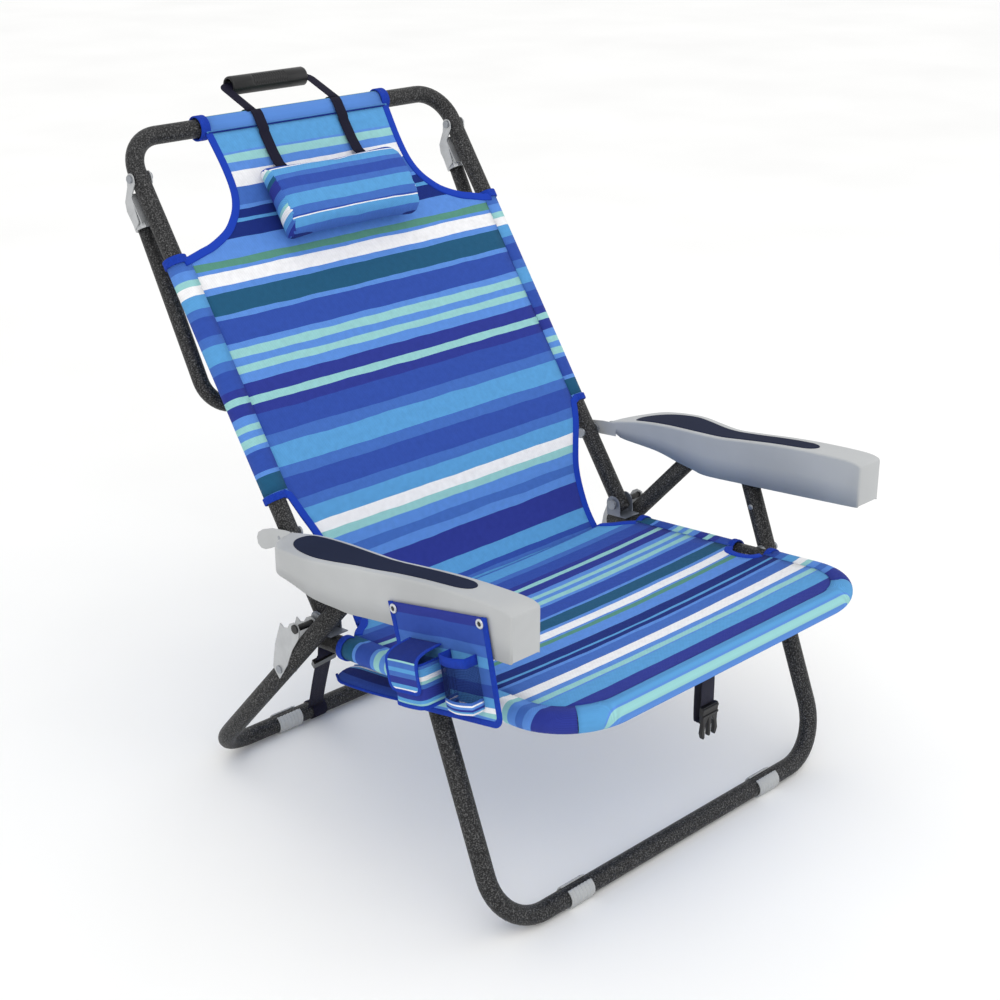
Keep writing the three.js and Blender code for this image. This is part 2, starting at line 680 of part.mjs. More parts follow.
for (const [name, side] of SIDES) {
  addPart(chair, `armrest_shell_${name}`, armrestShell(side), 'grey_plastic');
  addPart(chair, `armrest_pad_${name}`, armrestPad(side), 'pad');
  addPart(chair, `armrest_bolt_${name}`, armrestBolt(side), 'zinc');
}

// ---------------------------------------------------------------- pouch on the left armrest
// Its group has -Y running forward along the panel's top edge and -Z down the panel;
// x = 0 is the panel's inner face.
const POUCH = {
  x: -352.6, y: 161, z: 423, tilt: -12.3, width: 172, height: 134, slant: 10, corner: 15, sheet: 1.4,
};
const pouch = new THREE.Group();
pouch.position.set(POUCH.x, POUCH.y, POUCH.z);
pouch.rotation.x = THREE.MathUtils.degToRad(POUCH.tilt);
chair.add(pouch);

const panelFace = -POUCH.sheet;
const cornerCentre = [POUCH.corner - POUCH.width, POUCH.corner - POUCH.height];
const panelOutline = outline([
  [0, 0], [-POUCH.slant, -POUCH.height],
  ...circlePoints(cornerCentre, POUCH.corner, 4, -90, -180),
  [-POUCH.width, 0],
]);
addPart(pouch, 'pouch_panel', sideSlab(panelOutline, 1, panelFace, 0), 'sling');

// A cup with walls of even thickness, open at the top, against the panel.
function cup(outside, inside, bottom, top, floor) {
  return cut(planSlab(outline(outside), bottom, top), planSlab(outline(inside), bottom + floor, top + 5));
}

const BOX_POCKET = { rear: -34, front: -86, face: -41, top: -56, bottom: -110, wall: 2 };

function boxPocket() {
  const { rear, front, face, wall } = BOX_POCKET;
  const near = panelFace - GAP;
  const round = 9;
  const outside = [
    [near, rear], [near, front],
    ...circlePoints([face + round, front + round], round, 3, -90, -180),
    ...circlePoints([face + round, rear - round], round, 3, 180, 90),
  ];
  const inside = [
    [near - wall, rear - wall], [near - wall, front + wall],
    [face + round, front + wall], [face + wall, front + round],
    [face + wall, rear - round], [face + round, rear - wall],
  ];
  return cup(outside, inside, BOX_POCKET.bottom, BOX_POCKET.top, wall);
}

const MESH_POCKET = { rear: -102, front: -146, depth: 18, bulge: 5, top: -46, bottom: -115, wall: 1.5 };

function meshPocket() {
  const near = panelFace - GAP;
  const bow = (shrink) => {
    const rear = MESH_POCKET.rear - shrink;
    const front = MESH_POCKET.front + shrink;
    const depth = near - MESH_POCKET.depth + shrink;
    return [
      [near - shrink, rear], [near - shrink, front], [depth, front],
      [depth - MESH_POCKET.bulge * 0.8, front + 11], [depth - MESH_POCKET.bulge, (rear + front) / 2],
      [depth - MESH_POCKET.bulge * 0.8, rear - 11], [depth, rear],
    ];
  };
  return cup(bow(0), bow(MESH_POCKET.wall), MESH_POCKET.bottom, MESH_POCKET.top, 2);
}

// The flap starts at its hinge line, just off the panel, and hangs over the box pocket.
const FLAP_HINGE = [-2.8, -42];

function pouchFlap() {
  const path = [FLAP_HINGE, [-28, -45], [-38, -48], [-42.6, -54], [-43, -92]];
  return frontSlab(ribbon(path, 1.6), BOX_POCKET.front - 1, BOX_POCKET.rear + 1);
}

addPart(pouch, 'pouch_box_pocket', boxPocket(), 'sling');
addPart(pouch, 'pouch_mesh_pocket', meshPocket(), 'mesh');
addPart(pouch, 'pouch_flap', pouchFlap(), 'sling');

const snap = (at) => pin(1, panelFace - 2, panelFace - GAP, at, 6, 14);
addPart(pouch, 'pouch_snap_rear', snap([-8, -8.5]), 'silver');
addPart(pouch, 'pouch_snap_front', snap([-161, -8]), 'silver');

// ---------------------------------------------------------------- closing strap
const STRAP_HALF = 12.5;
const CLOSING = { y: -40, top: 308, buckleTop: 244, bottom: 183 };

function closingWebbing() {
  const outside = [
    [CLOSING.y - 2, CLOSING.top], [CLOSING.y - 2, 290], [CLOSING.y - 5.5, 270], [CLOSING.y - 5.5, 212],
    [CLOSING.y, 205], [CLOSING.y + 5.5, 212], [CLOSING.y + 5.5, 270], [CLOSING.y + 2, 290],
    [CLOSING.y + 2, CLOSING.top],
  ];
  const inside = [
    [CLOSING.y, 286], [CLOSING.y - 4, 268], [CLOSING.y - 4, 213], [CLOSING.y, 207],
    [CLOSING.y + 4, 213], [CLOSING.y + 4, 268],
  ];
  const loop = outline(outside);
  loop.holes.push(new THREE.Path(inside.map(([a, b]) => new THREE.Vector2(a, b))));
  return sideSlab(loop, 1, -STRAP_HALF, STRAP_HALF);
}

// A side-release plug: a body and a centre spine between two springy prongs, seen from the front.
function buckleMale() {
  const body = [
    [-15, 232], [-15, 217], [-14, 205], [-15.5, 192], [-12, 184], [-8.5, 187], [-9.5, 204],
    [-3, 213], [-2.5, 186], [2.5, 186], [3, 213], [9.5, 204], [8.5, 187], [12, 184],
    [15.5, 192], [14, 205], [15, 217], [15, 232],
  ];
  const front = CLOSING.y - 6;
  return frontSlab(outline(body), front - 6, front);
}

addPart(chair, 'closing_webbing', closingWebbing(), 'webbing');
addPart(chair, 'closing_buckle_male', buckleMale(), 'black_plastic');

// Its socket hangs behind the sling from a tab on the back's top bar.
function buckleFemale() {
  const tab = block(-STRAP_HALF, STRAP_HALF, 672, 701, 3.5, 5.1);
  const shell = block(-16, 16, 632, 676, -4, 5.5);
  const mouth = block(-12.5, 12.5, 625, 664, -1.6, 3.1);
  return cut(join(shell, tab), mouth);
}

addPart(back, 'closing_buckle_female', buckleFemale(), 'black_plastic');

// ---------------------------------------------------------------- backpack straps
const SHOULDER = { x: 280, y: 383, z: 245, floorX: 130, width: 25, thickness: 1.8 };

const shoulderDrop = Math.hypot(
  SHOULDER.x - SHOULDER.floorX, REAR_LEG_LINE.y - SHOULDER.y, REAR_LEG_LINE.z - SHOULDER.z,
);

// Moves a geometry drawn at the origin, with +Y running along the webbing, to its place: down
// and inwards from the seat rail's rear end towards the rear floor bar.
function onShoulderLine(side, geometry) {
  const top = new THREE.Vector3(side * SHOULDER.x, SHOULDER.y, SHOULDER.z);
  const bar = new THREE.Vector3(side * SHOULDER.floorX, REAR_LEG_LINE.y, REAR_LEG_LINE.z);
  const down = bar.clone().sub(top).normalize();
  const across = new THREE.Vector3().crossVectors(down, X_AXIS).normalize();
  const wide = new THREE.Vector3().crossVectors(down, across).normalize();
  const place = new THREE.Matrix4().makeBasis(wide, down, new THREE.Vector3().crossVectors(wide, down));
  return geometry.applyMatrix4(place).translate(top.x, top.y, top.z);
}

function shoulderWebbing(side) {
  const length = shoulderDrop - TUBE_R - 10;
  const strip = new THREE.BoxGeometry(SHOULDER.width, length, SHOULDER.thickness);
  return onShoulderLine(side, strip.translate(0, length / 2, 0));
}

function ladderLock(side) {
  const frame = block(-17, 17, 24, 50, -3.6, 3.6);
  const slot = block(-13.5, 13.5, 20, 54, -1.9, 1.9);
  return onShoulderLine(side, cut(frame, slot));
}

// A padded strap of lens section, hung under the seat from front to rear.
function shoulderPad(side) {
  const section = outline([
    [-30, 0], [-20, 5], [0, 7.5], [20, 5], [30, 0], [20, -4], [0, -6], [-20, -4],
  ]);
  const route = new THREE.CatmullRomCurve3([
    new THREE.Vector3(side * 200, 20, 283), new THREE.Vector3(side * 215, 90, 262),
    new THREE.Vector3(side * 232, 180, 238), new THREE.Vector3(side * 247, 280, 222),
    new THREE.Vector3(side * 255, 372, 213),
  ]);
  const steps = 7;
  const places = Array.from({ length: steps + 1 }, (_, i) => i / steps);
  const points = places.map((place) => route.getPointAt(place));
  const tangents = places.map((place) => route.getTangentAt(place));
  return sectionSweep(section, points, tangents);
}

// A section swept along stations with its first axis kept level.
function sectionSweep(section, points, tangents) {
  const ring = section.getPoints(1).slice(0, -1);
  const count = ring.length;
  const corners = [];
  points.forEach((point, i) => {
    const level = new THREE.Vector3().crossVectors(tangents[i], Z_AXIS).normalize();
    const up = new THREE.Vector3().crossVectors(level, tangents[i]).normalize();
    ring.forEach(({ x, y }) => {
      corners.push(point.clone().addScaledVector(level, x).addScaledVector(up, y));
    });
  });
  const index = [];
  for (let i = 0; i < points.length - 1; i += 1) {
    for (let k = 0; k < count; k += 1) {
      const a = i * count + k;
      const b = i * count + ((k + 1) % count);
      index.push(a, b, b + count, a, b + count, a + count);
    }
  }
  const last = (points.length - 1) * count;
  for (let k = 1; k < count - 1; k += 1) {
    index.push(0, k + 1, k, last, last + k, last + k + 1);
  }
  const geometry = new THREE.BufferGeometry().setFromPoints(corners);
  geometry.setIndex(index);
  geometry.computeVertexNormals();
  return geometry;
}

for (const [name, side] of SIDES) {
  addPart(chair, `shoulder_strap_webbing_${name}`, shoulderWebbing(side), 'webbing');
  addPart(chair, `ladder_lock_${name}`, ladderLock(side), 'black_plastic');
  addPart(chair, `shoulder_strap_pad_${name}`, shoulderPad(side), 'strap_pad');
}

// ---------------------------------------------------------------- origin
// The middle of the footprint box, on the floor under the clips.
chair.updateMatrixWorld(true);
const footprint = new THREE.Box3().setFromObject(chair, true);
chair.position.set(
  -(footprint.min.x + footprint.max.x) / 2,
  -(footprint.min.y + footprint.max.y) / 2,
  -footprint.min.z,
);

export default chair;
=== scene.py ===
import math

import bmesh
import bpy
from mathutils import Matrix, Vector


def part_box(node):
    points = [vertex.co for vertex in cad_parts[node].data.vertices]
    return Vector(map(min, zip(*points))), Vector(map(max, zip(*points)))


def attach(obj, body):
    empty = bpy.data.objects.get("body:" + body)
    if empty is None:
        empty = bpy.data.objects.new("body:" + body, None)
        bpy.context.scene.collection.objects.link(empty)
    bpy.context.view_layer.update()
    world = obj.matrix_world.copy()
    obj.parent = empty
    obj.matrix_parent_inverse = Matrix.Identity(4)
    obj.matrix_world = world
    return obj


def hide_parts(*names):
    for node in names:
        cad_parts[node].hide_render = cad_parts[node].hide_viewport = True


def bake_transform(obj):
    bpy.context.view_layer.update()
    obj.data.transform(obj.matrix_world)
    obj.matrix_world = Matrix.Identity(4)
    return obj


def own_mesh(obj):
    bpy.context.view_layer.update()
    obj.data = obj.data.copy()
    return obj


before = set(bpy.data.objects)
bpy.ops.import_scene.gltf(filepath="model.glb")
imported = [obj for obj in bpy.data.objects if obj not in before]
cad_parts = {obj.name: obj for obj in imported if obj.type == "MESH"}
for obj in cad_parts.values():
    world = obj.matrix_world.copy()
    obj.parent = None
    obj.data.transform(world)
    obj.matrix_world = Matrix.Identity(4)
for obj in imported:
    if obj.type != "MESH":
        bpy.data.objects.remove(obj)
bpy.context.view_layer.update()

# Looks for the folding beach chair. Shapes are drawn in millimetres in the chair's working frame,
# where x = 0 is the middle plane and the front floor bar's axis is y = 0, z = FRONT_BAR_Z.
# Left is the -X side. A frame's own axes are x, distance along it, and height above it.
MM = 0.001
CLIP_FOOT = 2.3
seat_low, seat_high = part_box("seat_frame_tube")
clip_low, clip_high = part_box("front_foot_clip_left")
SHIFT = Vector((
    (seat_low.x + seat_high.x) / 2,
    (clip_low.y + clip_high.y) / 2,
    clip_low.z + CLIP_FOOT * MM,
))
WORLD = Matrix.Translation(SHIFT) @ Matrix.Scale(MM, 4)


def frame_matrix(y, z, degrees, x=0):
    return WORLD @ Matrix.Translation((x, y, z)) @ Matrix.Rotation(math.radians(degrees), 4, "X")


FRONT_BAR_Z = 12.7
REAR_BAR_Y = 608.6
SEAT = frame_matrix(-80.5, 314.6, -5.365)
BACK = frame_matrix(359.5, 288.3, 55.1)
FRONT_LEG = frame_matrix(0, FRONT_BAR_Z, 68.0)
REAR_LEG = frame_matrix(REAR_BAR_Y, FRONT_BAR_Z, 132.26)
POUCH = frame_matrix(161, 423, -12.3, x=-352.6)

TUBE_R = 12.7
SEAT_HALF = 289
BACK_HALF = 286
FRONT_LEG_HALF = 322
REAR_LEG_HALF = 320
SEAT_CORNER = 85
BACK_TOP = 716
BACK_CORNER = 50
SIDES = (("left", -1), ("right", 1))
UP = Vector((0, 0, 1))

# ---------------------------------------------------------------- camera, floor and light
CAMERA_PLACE = (-1.56176, -1.66871, 1.33763)
CAMERA_AZIMUTH = -43.96
CAMERA_ELEVATION = 22.47
camera = bpy.data.objects.new("camera", bpy.data.cameras.new("camera"))
camera.data.lens = 63.53
camera.data.sensor_width = 36
camera.location = CAMERA_PLACE
camera.rotation_euler = (math.radians(90 - CAMERA_ELEVATION), 0, math.radians(CAMERA_AZIMUTH))
bpy.context.scene.collection.objects.link(camera)
bpy.context.scene.camera = camera
bpy.context.scene.view_settings.view_transform = "Standard"


def softbox(name, place, size, watts):
    light = bpy.data.lights.new(name, "AREA")
    light.shape = "RECTANGLE"
    light.size, light.size_y = size
    light.energy = watts
    lamp = bpy.data.objects.new(name, light)
    lamp.location = place
    lamp.rotation_euler = (Vector((0, 0, 0.4)) - Vector(place)).to_track_quat("-Z", "Y").to_euler()
    bpy.context.scene.collection.objects.link(lamp)


def broad_light(name, toward, strength, spread):
    """A distant light as wide as a ceiling, so that the floor is lit evenly."""
    light = bpy.data.lights.new(name, "SUN")
    light.energy = strength
    light.angle = math.radians(spread)
    lamp = bpy.data.objects.new(name, light)
    lamp.rotation_euler = Vector(toward).to_track_quat("-Z", "Y").to_euler()
    bpy.context.scene.collection.objects.link(lamp)


broad_light("ceiling_light", (0.45, 0.55, -1.6), 0.5, 70)
softbox("key_light", (-2.2, -2.6, 3.0), (2.4, 2.0), 22)
softbox("fill_light", (2.8, -1.8, 1.8), (2.0, 2.4), 10)

world = bpy.data.worlds.new("studio")
bpy.context.scene.world = world
world.use_nodes = True
world.node_tree.nodes["Background"].inputs["Color"].default_value = (1, 1, 1, 1)
world.node_tree.nodes["Background"].inputs["Strength"].default_value = 0.9


# ---------------------------------------------------------------- materials
def linear(red, green, blue):
    def channel(value):
        value /= 255
        return value / 12.92 if value <= 0.04045 else ((value + 0.055) / 1.055) ** 2.4

    return (channel(red), channel(green), channel(blue), 1)


COLOURS = {
    "cornflower": linear(92, 142, 218),
    "sky": linear(90, 158, 214),
    "mint": linear(150, 205, 206),
    "white": linear(242, 242, 244),
    "green": linear(88, 146, 128),
    "teal": linear(34, 88, 122),
    "royal": linear(50, 80, 168),
    "denim": linear(68, 110, 190),
    "indigo": linear(46, 58, 146),
    "navy": linear(26, 46, 122),
    "binding": linear(26, 60, 168),
}


def add(tree, kind, inputs=None, **settings):
    made = tree.nodes.new(kind)
    for key, value in settings.items():
        setattr(made, key, value)
    for key, value in (inputs or {}).items():
        if isinstance(value, bpy.types.NodeSocket):
            tree.links.new(value, made.inputs[key])
        else:
            made.inputs[key].default_value = value
    return made


def calc(tree, operation, first, second=0.0):
    return add(tree, "ShaderNodeMath", {0: first, 1: second}, operation=operation).outputs[0]


def new_material(name):
    material = bpy.data.materials.new(name)
    material.use_nodes = True
    tree = material.node_tree
    return material, tree, tree.nodes["Principled BSDF"]


def noise(tree, scale, detail=2.0, vector=None):
    inputs = {"Scale": scale, "Detail": detail}
    if vector is None:
        vector = add(tree, "ShaderNodeTexCoord").outputs["Object"]
    inputs["Vector"] = vector
    return add(tree, "ShaderNodeTexNoise", inputs).outputs["Fac"]


def surface(shader, roughness, specular, metallic=0.0):
    shader.inputs["Roughness"].default_value = roughness
    shader.inputs["Specular IOR Level"].default_value = specular
    shader.inputs["Metallic"].default_value = metallic


def bumped(tree, shader, height, strength, distance):
    bump = add(tree, "ShaderNodeBump", {"Height": height, "Strength": strength, "Distance": distance})
    tree.links.new(bump.outputs["Normal"], shader.inputs["Normal"])


def ramp(tree, factor, stops, interpolation="LINEAR"):
    made = add(tree, "ShaderNodeValToRGB", {"Fac": factor})
    made.color_ramp.interpolation = interpolation
    elements = made.color_ramp.elements
    elements[0].position, elements[0].color = stops[0]
    elements[1].position, elements[1].color = stops[1]
    for position, colour in stops[2:]:
        elements.new(position).color = colour
    return made.outputs["Color"]


# Depths of surface relief, in metres.
FINE_RELIEF = 0.0003
COARSE_RELIEF = 0.0006
CLOTH_RELIEF = 0.0009


def powder_coat():
    """Charcoal hammered powder coat with fine pale specks."""
    material, tree, shader = new_material("powder_coat")
    grain = noise(tree, 520, 4)
    tone = ramp(tree, grain, [
        (0.38, linear(12, 12, 13)), (0.53, linear(44, 44, 45)), (0.72, linear(104, 104, 104)),
    ])
    tree.links.new(tone, shader.inputs["Base Color"])
    surface(shader, 0.5, 0.3, 0.1)
    bumped(tree, shader, noise(tree, 380, 3), 0.55, COARSE_RELIEF)
    return material


def metal(name, colour, roughness, streaks):
    """Plated steel with faint cloudy patches and a little brushing."""
    material, tree, shader = new_material(name)
    cloud = noise(tree, streaks, 5)
    dark = tuple(0.84 * value for value in colour[:3]) + (1,)
    tree.links.new(ramp(tree, cloud, [(0.3, dark), (0.65, colour)]), shader.inputs["Base Color"])
    shader.inputs["Metallic"].default_value = 0.45
    rough = add(tree, "ShaderNodeMapRange", {
        "Value": cloud, "To Min": roughness - 0.08, "To Max": roughness + 0.14,
    })
    tree.links.new(rough.outputs["Result"], shader.inputs["Roughness"])
    bumped(tree, shader, noise(tree, streaks * 6, 2), 0.12, FINE_RELIEF)
    return material


def plastic(name, colour, roughness, grain_scale, grain_depth, gloss=0.4):
    """Moulded plastic: even colour with faint flow marks and a fine spark-eroded grain."""
    material, tree, shader = new_material(name)
    flow = noise(tree, 9, 3)
    darker = tuple(0.9 * value for value in colour[:3]) + (1,)
    tree.links.new(ramp(tree, flow, [(0.35, darker), (0.62, colour)]), shader.inputs["Base Color"])
    surface(shader, roughness, gloss)
    bumped(tree, shader, noise(tree, grain_scale, 2), grain_depth, FINE_RELIEF)
    return material


def weave_height(tree, across, along, pitch):
    """Plain weave: over and under threads, pitch millimetres apart."""
    turns = 2 * math.pi / pitch
    warp = calc(tree, "SINE", calc(tree, "MULTIPLY", across, turns))
    weft = calc(tree, "SINE", calc(tree, "MULTIPLY", along, turns))
    return calc(tree, "MULTIPLY", warp, weft)


def flat_cloth_axes(tree):
    """Millimetres across and along the flat cloth, from the piece's UV map."""
    place = add(tree, "ShaderNodeUVMap").outputs["UV"]
    split = add(tree, "ShaderNodeSeparateXYZ", {"Vector": place})
    return place, split.outputs["X"], split.outputs["Y"]


MOST_STOPS = 28


def stripe_colour(tree, along, stripes, start):
    """The colour of a list of (colour name, width) stripes, laid end to end from start."""
    edges = []
    place = start
    for colour, width in stripes:
        edges.append((place, COLOURS[colour]))
        place += width
    result = None
    for first in range(0, len(edges), MOST_STOPS):
        part = edges[first:first + MOST_STOPS]
        low = part[0][0]
        end = edges[first + MOST_STOPS][0] if first + MOST_STOPS < len(edges) else place
        span = end - low
        factor = calc(tree, "DIVIDE", calc(tree, "SUBTRACT", along, low), span)
        colour = ramp(tree, factor, [((edge - low) / span, value) for edge, value in part], "CONSTANT")
        if result is None:
            result = colour
            continue
        mix = add(tree, "ShaderNodeMix", {
            "Factor": calc(tree, "GREATER_THAN", along, low),
        }, data_type="RGBA")
        tree.links.new(result, mix.inputs["A"])
        tree.links.new(colour, mix.inputs["B"])
        result = mix.outputs["Result"]
    return result


# Millimetres between the canvas's threads, and between the darker and lighter groups of them.
THREAD_PITCH = 1.3
CANVAS_PITCH = 2.8


def finish_fabric(tree, shader, colour, place, across, along, relief=0.35):
    """Printed canvas: dye mottling, light and dark threads, and woven relief."""
    mottle = noise(tree, 0.11, 4, place)
    shade = add(tree, "ShaderNodeMapRange", {
        "Value": mottle, "To Min": 0.86, "To Max": 1.12,
    }).outputs["Result"]
    canvas = weave_height(tree, across, along, CANVAS_PITCH)
    shade = calc(tree, "ADD", shade, calc(tree, "MULTIPLY", canvas, 0.12))
    tint = add(tree, "ShaderNodeVectorMath", {0: colour, "Scale": shade}, operation="SCALE").outputs["Vector"]
    tree.links.new(tint, shader.inputs["Base Color"])
    surface(shader, 0.85, 0.12)
    shader.inputs["Sheen Weight"].default_value = 0.02
    weave = weave_height(tree, across, along, THREAD_PITCH)
    slub = calc(tree, "MULTIPLY", noise(tree, 0.45, 3, place), 2.2)
    relief_map = calc(tree, "ADD", calc(tree, "ADD", weave, slub), calc(tree, "MULTIPLY", canvas, 1.2))
    bumped(tree, shader, relief_map, relief, CLOTH_RELIEF)


def striped_fabric(name, stripes, start, wobble=5.0):
    """Striped canvas whose stripe edges wander like brush strokes."""
    material, tree, shader = new_material(name)
    place, across, along = flat_cloth_axes(tree)
    stretch = add(tree, "ShaderNodeVectorMath", {0: place, 1: (0.013, 0.07, 0)}, operation="MULTIPLY")
    wander = noise(tree, 1.0, 2, stretch.outputs["Vector"])
    shifted = calc(tree, "ADD", along, calc(tree, "MULTIPLY", calc(tree, "SUBTRACT", wander, 0.5), wobble))
    colour = stripe_colour(tree, shifted, stripes, start)
    finish_fabric(tree, shader, colour, place, across, along)
    return material


def plain_fabric(name, colour, relief=0.35):
    material, tree, shader = new_material(name)
    place, across, along = flat_cloth_axes(tree)
    lighter = tuple(min(1, 1.25 * value) for value in colour[:3]) + (1,)
    tone = ramp(tree, noise(tree, 0.3, 3, place), [(0.35, colour), (0.75, lighter)])
    finish_fabric(tree, shader, tone, place, across, along, relief)
    return material


def webbing(name, colour, edge_colour):
    """Polypropylene webbing: herringbone ribs across its width."""
    material, tree, shader = new_material(name)
    _, across, along = flat_cloth_axes(tree)
    herring = calc(tree, "ABSOLUTE", calc(tree, "PINGPONG", across, 4.0))
    ribs = calc(tree, "SINE", calc(tree, "MULTIPLY", calc(tree, "ADD", along, herring), 2 * math.pi / 2.4))
    tone = ramp(tree, calc(tree, "MULTIPLY_ADD", ribs, 0.5), [(0.0, colour), (0.9, edge_colour)])
    tree.links.new(tone, shader.inputs["Base Color"])
    surface(shader, 0.75, 0.15)
    bumped(tree, shader, ribs, 0.5, COARSE_RELIEF)
    return material


# One repeat of the printed stripes, from the top of the back down to the crease, in millimetres.
STRIPES = [
    ("sky", 33), ("cornflower", 4), ("mint", 12), ("cornflower", 12), ("white", 24), ("denim", 26),
    ("cornflower", 6), ("navy", 12), ("sky", 5), ("navy", 22), ("cornflower", 26), ("green", 12),
    ("cornflower", 5), ("white", 20), ("cornflower", 8), ("teal", 30), ("cornflower", 7), ("royal", 34),
    ("cornflower", 10), ("mint", 12), ("cornflower", 10), ("mint", 12), ("cornflower", 13),
    ("indigo", 20), ("mint", 11), ("indigo", 15), ("royal", 31), ("denim", 16), ("sky", 30),
    ("denim", 16), ("royal", 31), ("denim", 15), ("sky", 22), ("white", 16), ("mint", 11),
    ("cornflower", 16), ("denim", 14), ("cornflower", 13), ("indigo", 39), ("sky", 24), ("royal", 7),
    ("denim", 6), ("sky", 40),
]
BACK_LEAD = [("green", 30), ("cornflower", 25)]
SEAT_LEAD = [("cornflower", 33), ("mint", 14), ("cornflower", 4), ("sky", 24), ("indigo", 32)]
PILLOW_STRIPES = [
    ("royal", 12), ("white", 1.8), ("sky", 12), ("denim", 8), ("royal", 15), ("denim", 9), ("sky", 19),
    ("denim", 11), ("royal", 2), ("white", 1.8), ("sky", 11), ("denim", 7), ("navy", 20),
]
CAP_STRIPES = [
    ("royal", 4), ("white", 9), ("mint", 6), ("sky", 10), ("teal", 8), ("indigo", 17), ("denim", 12),
    ("sky", 8), ("mint", 5), ("white", 9), ("sky", 8), ("denim", 6), ("indigo", 40),
]
PANEL_STRIPES = [
    ("indigo", 12), ("royal", 22), ("denim", 14), ("sky", 14), ("denim", 20), ("royal", 16),
    ("sky", 12), ("white", 7), ("mint", 6), ("cornflower", 40),
]
POCKET_STRIPES = [
    ("denim", 6), ("sky", 9), ("white", 5), ("mint", 4), ("denim", 6), ("indigo", 14), ("sky", 4),
    ("mint", 3), ("cornflower", 5), ("white", 12),
]
FLAP_STRIPES = [
    ("navy", 43), ("mint", 2), ("denim", 7), ("sky", 5), ("denim", 6), ("indigo", 9), ("sky", 5),
    ("white", 4), ("mint", 4), ("cornflower", 20),
]
CUP_STRIPES = [("denim", 3), ("white", 2), ("cornflower", 3), ("indigo", 3), ("sky", 2), ("white", 9)]
PAD_STRIPES = [
    ("royal", 14), ("navy", 20), ("sky", 5), ("white", 4), ("denim", 6), ("mint", 4), ("royal", 40),
]


def lead_width(lead):
    return sum(width for _, width in lead)


TUBE = powder_coat()
STEEL = metal("plated_steel", linear(186, 188, 190), 0.36, 60)
BRACKET_STEEL = metal("bracket_steel", linear(122, 128, 140), 0.36, 80)
ZINC = metal("zinc_fastener", linear(150, 154, 160), 0.3, 140)
SNAP_METAL = metal("snap_metal", linear(205, 208, 212), 0.24, 220)
GREY_PLASTIC = plastic("grey_plastic", linear(182, 184, 185), 0.46, 900, 0.14, 0.3)
BLACK_PLASTIC = plastic("black_plastic", linear(18, 18, 20), 0.38, 700, 0.18, 0.4)
ARM_PAD = plastic("arm_pad", linear(30, 36, 58), 0.8, 520, 0.6, 0.12)
FABRIC_BACK = striped_fabric("fabric_back", BACK_LEAD + STRIPES, -lead_width(BACK_LEAD))
FABRIC_SEAT = striped_fabric("fabric_seat", SEAT_LEAD + STRIPES, -lead_width(SEAT_LEAD))
FABRIC_PILLOW = striped_fabric("fabric_pillow", PILLOW_STRIPES, 0, 4.0)
FABRIC_CAP = striped_fabric("fabric_pillow_end", CAP_STRIPES, 0, 4.0)
FABRIC_PANEL = striped_fabric("fabric_pouch_panel", PANEL_STRIPES, 0, 5.0)
FABRIC_POCKET = striped_fabric("fabric_pouch_pocket", POCKET_STRIPES, 0, 3.0)
FABRIC_FLAP = striped_fabric("fabric_pouch_flap", FLAP_STRIPES, 0, 2.0)
FABRIC_CUP = striped_fabric("fabric_pouch_cup", CUP_STRIPES, 0, 1.5)
FABRIC_PAD = striped_fabric("fabric_strap_pad", PAD_STRIPES, 0, 3.0)
BINDING = plain_fabric("binding_tape", COLOURS["binding"], 0.5)
THREAD = plain_fabric("seam_thread", linear(20, 40, 120), 0.2)
WEBBING = webbing("webbing", linear(16, 15, 32), linear(30, 29, 50))
GREY_WEBBING = webbing("grey_webbing", linear(34, 34, 46), linear(56, 56, 70))
NETTING = plain_fabric("netting", linear(22, 36, 84), 0.2)

floor_mesh = bpy.data.meshes.new("floor")
FLOOR_REACH = 60
floor_corners = [(-FLOOR_REACH, -FLOOR_REACH, 0), (FLOOR_REACH, -FLOOR_REACH, 0)]
floor_corners += [(FLOOR_REACH, FLOOR_REACH, 0), (-FLOOR_REACH, FLOOR_REACH, 0)]
floor_mesh.from_pydata(floor_corners, [], [(0, 1, 2, 3)])
floor = bpy.data.objects.new("floor", floor_mesh)
floor_material, floor_tree, floor_shader = new_material("pale_floor")
floor_tone = ramp(floor_tree, noise(floor_tree, 1.5, 2), [
    (0.3, linear(246, 246, 245)), (0.7, linear(251, 251, 250)),
])
floor_tree.links.new(floor_tone, floor_shader.inputs["Base Color"])
floor_shader.inputs["Roughness"].default_value = 0.9
floor_mesh.materials.append(floor_material)
bpy.context.scene.collection.objects.link(floor)


# ---------------------------------------------------------------- mesh helpers
def place_object(name, mesh, material, smooth):
    for polygon in mesh.polygons:
        polygon.use_smooth = smooth
    if not mesh.materials:
        mesh.materials.append(material)
    obj = bpy.data.objects.new(name, mesh)
    bpy.context.scene.collection.objects.link(obj)
    return obj


def edit_mesh(mesh, change):
    """Opens the mesh for change(edit), which may add faces or turn them, and writes it back."""
    edit = bmesh.new()
    edit.from_mesh(mesh)
    edit.verts.ensure_lookup_table()
    change(edit)
    edit.to_mesh(mesh)
    edit.free()


def faces_out(edit):
    bmesh.ops.recalc_face_normals(edit, faces=edit.faces)


